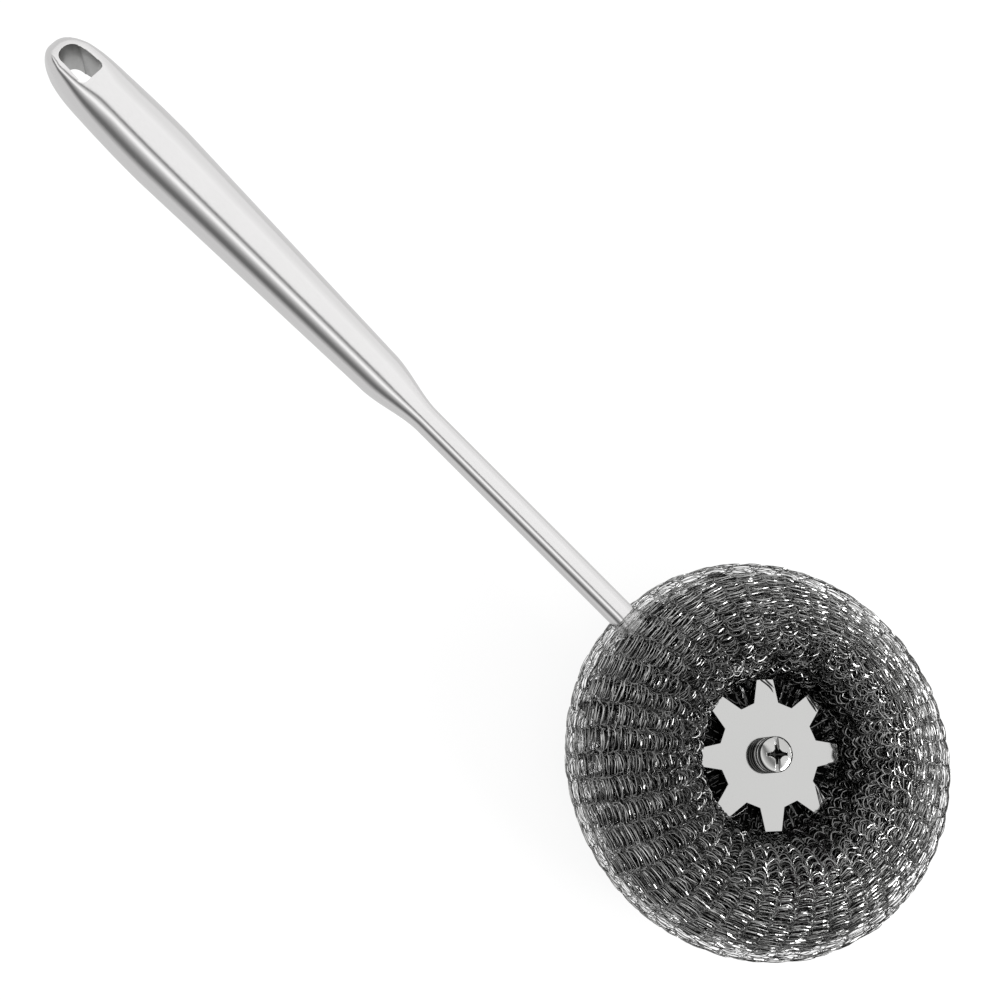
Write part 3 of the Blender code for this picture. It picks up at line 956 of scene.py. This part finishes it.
        # The loops are pulled long and straight where the claw plates hold them.
        zone_start, zone_fade = self.hub_zone
        near_hub = ((plain_share - 0.5).apply("ABSOLUTE") - zone_start) / zone_fade
        height_in_rows = near_hub.within(0.0, 1.0) * self.hub_pull + self.loop_reach
        reach_along = phase.apply("COSINE") * -1.0 * height_in_rows + wobble[1] * self.wander_across
        share = plain_share + reach_along / Term(tree, given["Rows"])
        hub_share = Term(tree, given["Hub Share"])
        share = hub_share + share.within(0.0, 1.0) * (hub_share * -2.0 + 1.0)
        curve = add_node(tree, "GeometryNodeObjectInfo", {"Object": given["Guide"]})
        sample = add_node(
            tree,
            "GeometryNodeSampleCurve",
            {"Curves": curve.outputs["Geometry"], "Factor": share.socket},
            mode="FACTOR",
        )
        spot = add_node(tree, "ShaderNodeSeparateXYZ", {0: sample.outputs["Position"]}).outputs
        aim = add_node(tree, "ShaderNodeSeparateXYZ", {0: sample.outputs["Tangent"]}).outputs
        radius, height = Term(tree, spot[0]), Term(tree, spot[2])

        fold = (phase.apply("COSINE") - 1.0) * 0.5
        away = ((radius - (self.floor_radius + self.fold_start)) / self.fold_fade).within(0.0, 1.0)
        # Towards the rim the folds flatten out, and the layers' ribs lie one over the other.
        outer_share = (radius - self.crest_radius) / (self.half_length - self.crest_radius)
        outer_share = outer_share.within(0.0, 1.0)
        flatter = outer_share * -self.rim_flattening + 1.0
        angle = angle + Term(tree, given["Turn"]) * (outer_share * -self.rim_turn_loss + 1.0)
        angle = angle + wobble[0] * (outer_share * -self.rim_wander_loss + self.wander_along) * loop_width
        bulge = (phase * 2.0).apply("COSINE") * flatter * self.bulge
        rise = fold * away * flatter * Term(tree, given["Rib Depth"]) + bulge + wobble[2] * self.wander_out
        radius = radius - Term(tree, aim[2]) * rise
        height = height + Term(tree, aim[0]) * rise

        # In plan the ring is an oval whose middle lies a little off the screw.
        beyond = (radius - self.crest_radius).apply("MAXIMUM", 0.0)
        round_part = angle.apply("SINE").apply("POWER", 2.0)
        narrower = (self.half_width - self.half_length) / (self.half_length - self.crest_radius)
        squeeze = round_part * narrower + 1.0
        radius = radius + beyond * (squeeze - 1.0)
        outwards = (radius - self.floor_radius) / (self.crest_radius - self.floor_radius)
        outwards = outwards.within(0.0, 1.0)
        across = radius * angle.apply("SINE") + outwards * self.drift[1]
        along = radius * angle.apply("COSINE") + outwards * self.drift[0]
        across, height = self.clear_of_neck(along, across, height)
        spread = add_node(
            tree,
            "ShaderNodeCombineXYZ",
            {"X": (along + self.axis_x).socket, "Y": across.socket, "Z": (height + self.middle_z).socket},
        )
        moved = add_node(
            tree,
            "GeometryNodeSetPosition",
            {"Geometry": points.outputs[0], "Position": spread.outputs[0]},
        )
        strand = add_node(tree, "GeometryNodePointsToCurves", {0: moved.outputs[0]})
        wire = add_node(
            tree, "GeometryNodeCurvePrimitiveCircle", {"Resolution": 3, "Radius": given["Wire Radius"]}
        )
        # The wire is rolled a little flat, so each loop flashes where a flat side faces a lamp.
        squeezed = add_node(tree, "ShaderNodeCombineXYZ", {"X": 1.0, "Y": given["Wire Flatness"], "Z": 1.0})
        rolled = add_node(
            tree, "GeometryNodeTransform", {"Geometry": wire.outputs[0], "Scale": squeezed.outputs[0]}
        )
        tube = add_node(
            tree, "GeometryNodeCurveToMesh", {"Curve": strand.outputs[0], "Profile Curve": rolled.outputs[0]}
        )
        real = add_node(tree, "GeometryNodeRealizeInstances", {0: tube.outputs[0]})
        dressed = add_node(
            tree, "GeometryNodeSetMaterial", {"Geometry": real.outputs[0], "Material": given["Material"]}
        )
        add_node(tree, "NodeGroupOutput", {"Geometry": dressed.outputs[0]})
        return tree

    def wander(self, tree: bpy.types.NodeTree, row: Term, given: bpy.types.NodeOutputs) -> list[Term]:
        """Three slow random shifts of the wire, as the gathered knit is never even.

        Args:
            tree: Tree that takes the nodes.
            row: Row number along the wire.
            given: Outputs of the tree's input node.

        Returns:
            Shifts between about -1 and 1: along the row, across it, and outwards.
        """
        turn = row * math.tau
        around, between_rows = self.wander_cells
        where = add_node(
            tree,
            "ShaderNodeCombineXYZ",
            {
                "X": (turn.apply("COSINE") * around).socket,
                "Y": (turn.apply("SINE") * around).socket,
                "Z": (row * between_rows).socket,
            },
        )
        coarse = add_node(
            tree,
            "ShaderNodeTexNoise",
            {"Vector": where.outputs[0], "W": given["Seed"], "Scale": 1.0, "Detail": 2.5, "Roughness": 0.65},
            noise_dimensions="4D",
        )
        parts = add_node(tree, "ShaderNodeSeparateXYZ", {0: coarse.outputs["Color"]}).outputs
        return [(Term(tree, part) - 0.5) * self.wander_gain for part in parts]

    def clear_of_neck(self, along: Term, across: Term, height: Term) -> tuple[Term, Term]:
        """Push the wire aside where the handle's neck runs into the ring.

        Args:
            along: Place along X from the ring's axis.
            across: Place along Y.
            height: Height above the ring's middle.

        Returns:
            The place along Y and the height, clear of the neck.
        """
        above = height - self.neck_z
        reach = (across * across + above * above).apply("SQRT").apply("MAXIMUM", 0.0001)
        push = (reach.apply("POWER", -1.0) * self.neck_clear).apply("MAXIMUM", 1.0) - 1.0
        beside = along.apply("LESS_THAN", self.neck_end)
        factor = push * beside + 1.0
        return across * factor, above * factor + self.neck_z

    def wind(self, layer: KnitLayer, tree: bpy.types.GeometryNodeTree) -> None:
        """Make one layer's pieces.

        Args:
            layer: The layer's sizes.
            tree: Tree that winds the wire.
        """
        guide = self.guide(layer.inset)
        sockets = {item.name: item.identifier for item in tree.interface.items_tree if item.in_out == "INPUT"}
        material = layer.finish.material(self.axis_x)
        share = layer.rows * RIBS * self.steps_per_loop // self.bands
        for band in range(self.bands):
            piece = placed(f"{layer.name}_{band + 1}", bpy.data.meshes.new(layer.name))
            modifier = piece.modifiers.new("knit", "NODES")
            modifier.node_group = tree
            values = {
                "Guide": guide,
                "Material": material,
                "Points": share + 1,
                "First Point": share * band,
                "Rows": float(layer.rows),
                "Turn": layer.turn,
                "Seed": layer.seed,
                "Wire Radius": self.wire_radius,
                "Wire Flatness": self.wire_flatness,
                "Rib Depth": self.rib_depth,
                "Hub Share": layer.hub_share,
            }
            for name, value in values.items():
                modifier[sockets[name]] = value
            applied(piece)
            piece.data.shade_flat()
            LOG.info("%s: %d faces", piece.name, len(piece.data.polygons))
            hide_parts("scourer")
            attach(piece, "brush")
        bpy.data.objects.remove(guide, do_unlink=True)

    def core(self) -> bpy.types.Object:
        """The deep layers of the knit, as one ribbed body painted near black as shade.

        Returns:
            The core's piece.
        """
        steps = RIBS * self.core_steps
        lobes = np.random.default_rng(self.core_seed).uniform(*self.core_spread, RIBS)
        rings = []
        for step in range(steps):
            angle = math.tau * step / steps
            # The deep knit is dense under each groove and open under each rib, so white shows there.
            groove = (1 - math.cos(RIBS * angle)) / 2
            dip = self.rib_depth * groove
            rim_reach = self.half_length + (self.half_width - self.half_length) * math.sin(angle) ** 2
            swell = (self.core_swell + lobes[step // self.core_steps]) * groove ** self.core_sharpness
            rim_reach += swell - self.core_setback
            ring = []
            for radius, height in self.path(self.core_inset, rim_reach):
                share = smooth_step(radius, self.floor_radius, self.crest_radius)
                fold = dip * share * (1 - 0.5 * smooth_step(radius, self.crest_radius, rim_reach))
                z = height - math.copysign(fold, height)
                x = radius * math.cos(angle) + share * self.drift[0]
                y = radius * math.sin(angle) + share * self.drift[1]
                ring.append((self.axis_x + x, y, self.middle_z + z))
            rings.append(ring)
        core = new_piece("knit_core", mesh_from_rings("knit_core", rings, True), DEEP_WIRE.material())
        core.data.shade_smooth()
        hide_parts("scourer")
        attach(core, "brush")
        return core

    def stray_wires(self) -> bpy.types.Object:
        """Loose wires that have slipped over the teeth of the front claw plate.

        Returns:
            The piece that holds them.
        """
        curve = bpy.data.curves.new("stray_wires", "CURVE")
        curve.dimensions = "3D"
        curve.bevel_depth = self.wire_radius * self.stray_thickness
        curve.bevel_resolution = 1
        for tooth, *spots in self.strays:
            knots = np.array(spots)
            places = np.linspace(0, len(knots) - 1, 6 * len(knots))
            bent = np.array([np.interp(places, range(len(knots)), knots[:, axis]) for axis in range(3)]).T
            # A running average over seven points rounds the bends.
            padded = np.concatenate([bent[:1]] * 3 + [bent] + [bent[-1:]] * 3)
            smooth = sum(padded[shift:shift + len(bent)] for shift in range(7)) / 7
            spline = curve.splines.new("POLY")
            spline.points.add(len(smooth) - 1)
            for point, (out, aside, lift) in zip(spline.points, smooth * MM):
                x, y = rotated(out, aside, math.radians(tooth))
                point.co = (self.axis_x + x, y, self.plate_top + lift, 1.0)
        drawn = placed("stray_wires_path", curve)
        mesh = final_mesh(drawn)
        bpy.data.objects.remove(drawn, do_unlink=True)
        wires = new_piece("stray_wires", mesh, DRAWN_WIRE.material())
        wires.data.shade_smooth()
        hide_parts("scourer")
        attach(wires, "brush")
        return wires

    def build(self) -> None:
        """Wind every layer, and add the core and the stray wires."""
        tree = self.knit_tree()
        for layer in self.layers:
            self.wind(layer, tree)
        self.core()
        self.stray_wires()


@dataclass
class ClawPlates:
    """The two toothed plates that grip the knit."""

    names: tuple[str, str] = ("front_claw_plate", "rear_claw_plate")

    def dress(self, frame: dict) -> None:
        """Give the stamped plates their finish.

        Args:
            frame: The loaded frame.
        """
        sheet = STAMPED_SHEET.material()
        for name in self.names:
            plate = frame["nodes"][name]
            plate.data.materials.clear()
            plate.data.materials.append(sheet)
            LOG.info("%s dressed", name)


@dataclass
class Clamp:
    """The clamp screw, its rings and its nut."""

    axis_x: float
    # Both rings: level of the lower face, thickness, and radius of the outer corners.
    washer_z: float = 0.0313
    washer_height: float = 0.0008
    washer_corner: float = 0.22 * MM
    spring_z: float = 0.0324
    spring_height: float = 0.0012
    spring_corner: float = 0.30 * MM
    hole_radius: float = 0.0028
    # The spring washer's split: its gap, and its angles about Z and X in degrees.
    split_gap: float = 0.5 * MM
    split_turn: float = -18
    split_slant: float = 25
    # The pan head. The dome's powers make it flatter than a ball, with a tighter edge.
    head_z: float = 0.0339
    head_height: float = 0.0022
    head_radius: float = 0.0046
    rim_share: float = 0.50
    dome_powers: tuple[float, float] = (0.92, 0.75)
    # Steps in from the head's radius and up from its lower face, where its side rounds off below.
    head_foot: tuple[tuple[float, float], ...] = (
        (0.0 * MM, 0.25 * MM), (0.12 * MM, 0.06 * MM), (0.30 * MM, 0.0 * MM),
    )
    head_edge: float = 0.07 * MM
    # Where the head's side is painted dark as shade: in from its radius, and up from its rim.
    shade_side_inset: float = 0.22 * MM
    shade_side_rise: float = 0.5 * MM
    # The plain slot and the cross recess, with the reach and half width of its wings, and its waist.
    slot_width: float = 0.0013
    slot_depth: float = 0.0007
    slot_turn: float = 135
    recess_wing: float = 2.95 * MM
    recess_tip: float = 0.52 * MM
    recess_waist: float = 1.38 * MM
    recess_turn: float = 45
    # Levels of the recess above the head's top, each with its share of the full outline.
    recess_levels: tuple[tuple[float, float], ...] = (
        (0.1 * MM, 1.0), (-0.6 * MM, 0.88), (-1.9 * MM, 0.30),
    )
    flank_steps: int = 8
    # The shank and its thread.
    shank_radius: float = 0.0025
    screw_end_z: float = 0.0159
    pitch: float = 0.0008
    thread_depth: float = 0.42 * MM
    thread_margin: float = 1.2 * MM
    # Steps in from the shank's radius and up from its end, where it is chamfered.
    shank_end: tuple[tuple[float, float], ...] = ((0.1 * MM, 0.7 * MM), (0.7 * MM, 0.0 * MM))
    # The nut, its corners chamfered down to a circle a little smaller than its flats.
    nut_z: float = 0.0179
    nut_height: float = 0.0040
    nut_flats: float = 0.0080
    nut_chamfer: float = 0.35 * MM
    nut_face_margin: float = 0.05 * MM
    # Flats round the axis of the turned pieces and of the nut.
    turned_steps: int = 96
    nut_steps: int = 72

    def finish(self, piece: bpy.types.Object, node: str, body: str) -> None:
        """Let a piece stand for its node.

        Args:
            piece: The fine piece.
            node: Node that it replaces.
            body: Body that it rides on.
        """
        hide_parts(node)
        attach(piece, body)

    def ring(self, name: str, low: float, height: float, edge: float) -> bpy.types.Mesh:
        """Flat ring with rounded outer corners.

        Args:
            name: Name of the mesh.
            low: Level of its lower face.
            height: Its thickness.
            edge: Radius of its outer corners.

        Returns:
            The ring's mesh.
        """
        outer, top = self.head_radius, low + height
        corner = []
        for turn in (0, 30, 60, 90):
            out, up = edge * math.sin(math.radians(turn)), edge * math.cos(math.radians(turn))
            corner.append((outer - edge + out, top - edge + up))
        lower = [(radius, 2 * low + height - level) for radius, level in reversed(corner)]
        profile = [(self.hole_radius, top), *corner, *lower, (self.hole_radius, low)]
        return turned(name, profile, self.turned_steps, self.axis_x)

    def shade_side(self, piece: bpy.types.Object, inset: float, level: float) -> None:
        """Paint the side of a turned piece dark as shade.

        Args:
            piece: The turned piece.
            inset: How far inside the outer radius the side starts.
            level: Height below which it starts.
        """
        piece.data.materials.append(SIDE_SHADE_STEEL.material())
        for face in piece.data.polygons:
            reach = math.hypot(face.center.x - self.axis_x, face.center.y)
            if reach > self.head_radius - inset and face.center.z < level:
                face.material_index = 1

    def split(self, piece: bpy.types.Object, low: float, height: float) -> None:
        """Cut the slanted split of the spring washer.

        Args:
            piece: The ring.
            low: Level of its lower face.
            height: Its thickness.
        """
        round_axis = Matrix.Rotation(math.radians(self.split_turn), 4, "Z")
        turn = round_axis @ Matrix.Rotation(math.radians(self.split_slant), 4, "X")
        scale = Matrix.Diagonal((self.head_radius * 2, self.split_gap, height * 3, 1.0))
        place = Matrix.Translation((self.axis_x, 0.0, low + height / 2)) @ turn
        outwards = Matrix.Translation((-self.head_radius, 0.0, 0.0))
        tool = placed("split_tool", block("split_tool", place @ outwards @ scale))
        cut_with(piece, tool, dressed=False)
        applied(piece)
        bpy.data.objects.remove(tool, do_unlink=True)

    def screw(self, steel: bpy.types.Material) -> bpy.types.Object:
        """Pan head screw with a cross recess and a threaded shank.

        Args:
            steel: Its finish.

        Returns:
            The screw's piece.
        """
        rim, radius = self.head_height * self.rim_share, self.head_radius
        top = self.head_z + self.head_height
        spread, flatness = self.dome_powers
        dome = []
        for degrees in range(0, 91, 6):
            angle = math.radians(degrees)
            lift = (self.head_height - rim) * max(math.cos(angle), 0.0) ** flatness
            dome.append((radius * math.sin(angle) ** spread, self.head_z + rim + lift))
        foot = [(radius - inwards, self.head_z + up) for inwards, up in self.head_foot]
        thread = [(self.shank_radius, self.head_z)]
        level = self.head_z - self.thread_margin
        while level > self.screw_end_z + self.thread_margin:
            thread.append((self.shank_radius, level))
            thread.append((self.shank_radius - self.thread_depth, level - self.pitch / 2))
            level -= self.pitch
        end = [(self.shank_radius - inwards, self.screw_end_z + up) for inwards, up in self.shank_end]
        profile = [*dome, *foot, *thread, *end, (0.0, self.screw_end_z)]
        mesh = turned("clamp_screw_fine", profile, self.turned_steps, self.axis_x)
        piece = new_piece("clamp_screw_fine", mesh, steel)
        # The head's side is painted dark as shade.
        self.shade_side(piece, self.shade_side_inset, self.head_z + rim + self.shade_side_rise)
        # The recess tool carries the painted shade into the recess that it cuts.
        tools = [
            new_piece("recess_tool", self.recess(top), RECESS_SHADE_STEEL.material()),
            new_piece("slot_tool", self.drive_slot(top), SAWN_SLOT.material()),
        ]
        for tool in tools:
            cut_with(piece, tool)
        break_edges(piece, self.head_edge, 2, 48)
        applied(piece)
        for tool in tools:
            bpy.data.objects.remove(tool, do_unlink=True)
        soften(piece.data, 40)
        return piece

    def drive_slot(self, top: float) -> bpy.types.Mesh:
        """Plain slot that runs through the cross recess.

        Args:
            top: Level of the head's top.

        Returns:
            The mesh of the tool that cuts it.
        """
        # Longer than the head is wide, so that it cuts through both sides.
        size = Matrix.Diagonal((self.head_radius * 2.4, self.slot_width, self.slot_depth * 2, 1.0))
        turn = Matrix.Rotation(math.radians(self.slot_turn), 4, "Z")
        return block("slot_tool", Matrix.Translation((self.axis_x, 0.0, top)) @ turn @ size)

    def recess(self, top: float) -> bpy.types.Mesh:
        """Four-pointed cross recess with hollow flanks, narrowing downwards.

        Args:
            top: Level of the head's top.

        Returns:
            The mesh of the tool that cuts it.
        """
        wing, tip, waist = self.recess_wing, self.recess_tip, self.recess_waist
        # Each flank between two wings is an arc about a point on the line halfway between them.
        span = 2 * (wing + tip) - 2 * math.sqrt(2) * waist
        middle = (wing ** 2 + tip ** 2 - waist ** 2) / span
        bend = math.sqrt(2) * middle - waist
        first = math.atan2(tip - middle, wing - middle)
        last = -1.5 * math.pi - first
        flank = []
        for step in range(self.flank_steps + 1):
            angle = first + (last - first) * step / self.flank_steps
            flank.append((middle + bend * math.cos(angle), middle + bend * math.sin(angle)))
        rings = []
        for lift, share in self.recess_levels:
            ring = []
            for arm in range(4):
                for spot in flank:
                    x, y = rotated(*spot, math.radians(self.recess_turn + 90 * arm))
                    ring.append((self.axis_x + share * x, share * y, top + lift))
            rings.append(ring)
        return mesh_from_rings("recess_tool", rings, False)

    def nut(self, steel: bpy.types.Material) -> bpy.types.Object:
        """Hexagon nut with chamfered corners.

        Args:
            steel: Its finish.

        Returns:
            The nut's piece.
        """
        corner = self.nut_flats / math.sqrt(3)
        face = self.nut_flats / 2 - self.nut_face_margin
        low, top = self.nut_z, self.nut_z + self.nut_height
        # Each level with the radius that cuts the hexagon's corners off, or 0 for the bore.
        levels = (
            (low, 0.0), (low, face), (low + self.nut_chamfer, corner),
            (top - self.nut_chamfer, corner), (top, face), (top, 0.0),
        )
        rings = []
        for level, cap in levels:
            ring = []
            for step in range(self.nut_steps):
                angle = math.tau * step / self.nut_steps
                side = math.fmod(angle + math.pi / 6, math.pi / 3) - math.pi / 6
                reach = min(self.nut_flats / 2 / math.cos(side), cap) if cap else self.hole_radius
                ring.append((self.axis_x + reach * math.cos(angle), reach * math.sin(angle), level))
            rings.append(ring)
        mesh = mesh_from_rings("clamp_nut_fine", rings, True)
        soften(mesh, 25)
        return new_piece("clamp_nut_fine", mesh, steel)

    def build(self) -> None:
        """Make the screw, both rings and the nut."""
        bright, tumbled_and_lit = BRIGHT_FASTENER.material(), TUMBLED_LIT_STEEL.material()
        plain_mesh = self.ring("plain_washer_fine", self.washer_z, self.washer_height, self.washer_corner)
        plain = new_piece("plain_washer_fine", plain_mesh, tumbled_and_lit)
        plain_top = self.washer_z + self.washer_height
        # The ring's side is painted dark as shade below its pale rim.
        self.shade_side(plain, 2 * self.washer_corner, plain_top - self.washer_corner / 2)
        self.finish(plain, "plain_washer", "captive_washers")
        spring_mesh = self.ring("spring_washer_fine", self.spring_z, self.spring_height, self.spring_corner)
        spring = new_piece("spring_washer_fine", spring_mesh, tumbled_and_lit)
        spring_top = self.spring_z + self.spring_height
        # The ring's side is painted dark as shade below its pale rim.
        self.shade_side(spring, 2 * self.spring_corner, spring_top - self.spring_corner / 2)
        self.split(spring, self.spring_z, self.spring_height)
        soften(spring.data, 35)
        self.finish(spring, "spring_washer", "captive_washers")
        self.finish(self.screw(bright), "clamp_screw", "clamp_screw")
        self.finish(self.nut(bright), "clamp_nut", "brush")


@dataclass(frozen=True)
class SoftLamp:
    """A square soft lamp that looks at the object."""

    name: str
    place: tuple[float, float, float]
    side: float
    watts: float

    def hang(self) -> None:
        """Hang the lamp in the scene."""
        data = bpy.data.lights.new(self.name, "AREA")
        data.size = self.side
        data.energy = self.watts
        lamp = placed(self.name, data)
        lamp.location = self.place
        lamp.rotation_euler = (-Vector(self.place)).to_track_quat("-Z", "Y").to_euler()


@dataclass
class Studio:
    """Pale floor, soft lamps, white surroundings and the camera."""

    axis_x: float
    # The camera: its place from the clamp's axis, the way it looks, and its right-hand side.
    camera_offset: tuple[float, float, float] = (-0.14255, -0.15971, 0.50176)
    camera_forward: tuple[float, float, float] = (0.09582048, 0.31498344, -0.94424778)
    camera_right: tuple[float, float, float] = (0.70400556, 0.64918007, 0.28799551)
    focal_length: float = 72.0
    film_width: float = 36.0
    nearest: float = 0.01
    farthest: float = 20.0
    # The floor: its side, its paper, the grey that takes the shadow, and its glow in metal.
    floor_size: float = 6.0
    floor_paper: str = "#f0f0f0"
    floor_faint: float = 0.14
    floor_glow: float = 0.62
    # What is added to the glow for the camera, so that the floor comes out white.
    floor_lift: float = 0.27
    # Grey cards round the object: angle about the handle's length from straight up, and grey.
    card_light: float = 1.3
    card_shades: tuple[tuple[float, float], ...] = (
        (-180, 0.76), (-60, 0.78), (-28, 0.86), (-23, 0.93), (-15.8, 0.93), (-10, 0.23), (-5, 0.23),
        (3, 0.52), (13, 0.78), (20, 1.0), (28, 1.0), (34, 0.74), (42, 0.46), (54, 0.22),
        (61, 0.135), (71, 0.135), (77, 0.26), (84, 0.44), (92, 0.50), (120, 0.76), (180, 0.76),
    )
    lamps: tuple[SoftLamp, ...] = (
        SoftLamp("key", (1.5, 0.4, 0.9), 0.90, 28.0),
        SoftLamp("fill", (1.3, 1.6, 0.5), 0.90, 27.0),
    )

    def camera(self) -> None:
        """Stand the camera where the photograph was taken from."""
        data = bpy.data.cameras.new("camera")
        data.lens = self.focal_length
        data.sensor_width = self.film_width
        data.clip_start = self.nearest
        data.clip_end = self.farthest
        camera = placed("camera", data)
        back = -Vector(self.camera_forward).normalized()
        right = Vector(self.camera_right).normalized()
        up = back.cross(right)
        turn = Matrix((right, up, back)).transposed().to_4x4()
        place = Vector(self.camera_offset) + Vector((self.axis_x, 0.0, 0.0))
        camera.matrix_world = Matrix.Translation(place) @ turn
        bpy.context.scene.camera = camera

    def seen(self, tree: bpy.types.NodeTree) -> bpy.types.NodeSocket:
        """Whether a ray comes from the camera, a reflection or a refraction.

        Args:
            tree: Tree that takes the nodes.

        Returns:
            A socket that is 1 for such a ray and 0 for any other.
        """
        ray = add_node(tree, "ShaderNodeLightPath").outputs
        total = Term(tree, ray["Is Camera Ray"]) + Term(tree, ray["Is Glossy Ray"])
        return (total + Term(tree, ray["Is Transmission Ray"])).apply("MINIMUM", 1.0).socket

    def floor(self) -> None:
        """Lay the pale floor, white to the camera but for the object's shadow."""
        mesh = bpy.data.meshes.new("floor")
        half = self.floor_size / 2
        corners = [(-half, -half, 0.0), (half, -half, 0.0), (half, half, 0.0), (-half, half, 0.0)]
        mesh.from_pydata(corners, [], [(0, 1, 2, 3)])
        made = bpy.data.materials.new("Matt white backdrop paper")
        made.use_nodes = True
        tree = made.node_tree
        tree.nodes.clear()
        seen = self.seen(tree)
        paper = add_node(tree, "ShaderNodeBsdfDiffuse", {"Color": linear(self.floor_paper)})
        faint = add_node(tree, "ShaderNodeBsdfDiffuse", {"Color": (*[self.floor_faint] * 3, 1.0)})
        # A reflection sees the floor a little greyer than the camera does, as it lies in the object's shade.
        camera = Term(tree, add_node(tree, "ShaderNodeLightPath").outputs["Is Camera Ray"])
        strength = (camera * self.floor_lift + self.floor_glow).socket
        glow = add_node(tree, "ShaderNodeEmission", {"Color": (1.0, 1.0, 1.0, 1.0), "Strength": strength})
        white = add_node(tree, "ShaderNodeAddShader", {0: faint.outputs[0], 1: glow.outputs[0]})
        both = add_node(tree, "ShaderNodeMixShader", {0: seen, 1: paper.outputs[0], 2: white.outputs[0]})
        add_node(tree, "ShaderNodeOutputMaterial", {"Surface": both.outputs[0]})
        mesh.materials.append(made)
        placed("floor", mesh)

    def surroundings(self) -> None:
        """White to the camera; the metal sees the dark and pale cards of the studio instead."""
        world = bpy.data.worlds.new("studio")
        bpy.context.scene.world = world
        world.use_nodes = True
        tree = world.node_tree
        tree.nodes.clear()
        way = add_node(tree, "ShaderNodeTexCoord").outputs["Generated"]
        parts = add_node(tree, "ShaderNodeSeparateXYZ", {0: way}).outputs
        # The cards hang along the handle, so their shade depends on the angle about its length.
        lean = (Term(tree, parts["Y"]) * -1.0).apply("ARCTAN2", Term(tree, parts["Z"]))
        cards = add_node(tree, "ShaderNodeValToRGB", {0: (lean / math.tau + 0.5).socket})
        stops = [(0.5 + degrees / 360, grey) for degrees, grey in self.card_shades]
        fill_stops(cards.color_ramp.elements, stops)
        light = add_node(
            tree, "ShaderNodeBackground", {"Color": cards.outputs[0], "Strength": self.card_light}
        )
        white = add_node(tree, "ShaderNodeBackground", {"Color": (1, 1, 1, 1), "Strength": 1.0})
        camera = add_node(tree, "ShaderNodeLightPath").outputs["Is Camera Ray"]
        both = add_node(tree, "ShaderNodeMixShader", {0: camera, 1: light.outputs[0], 2: white.outputs[0]})
        add_node(tree, "ShaderNodeOutputWorld", {"Surface": both.outputs[0]})

    def build(self) -> None:
        """Set up the whole studio."""
        self.camera()
        self.floor()
        self.surroundings()
        for lamp in self.lamps:
            lamp.hang()
        bpy.context.scene.view_settings.view_transform = "Standard"


def main() -> None:
    """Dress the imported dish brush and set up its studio."""
    logging.basicConfig(level=logging.INFO, format="%(name)s: %(message)s")
    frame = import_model()
    low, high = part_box("clamp_screw")
    axis_x = (low[0] + high[0]) / 2
    Studio(axis_x).build()
    Handle(axis_x).build()
    KnitRing(axis_x).build()
    ClawPlates().dress(frame)
    Clamp(axis_x).build()


if __name__ == "__main__":
    main()
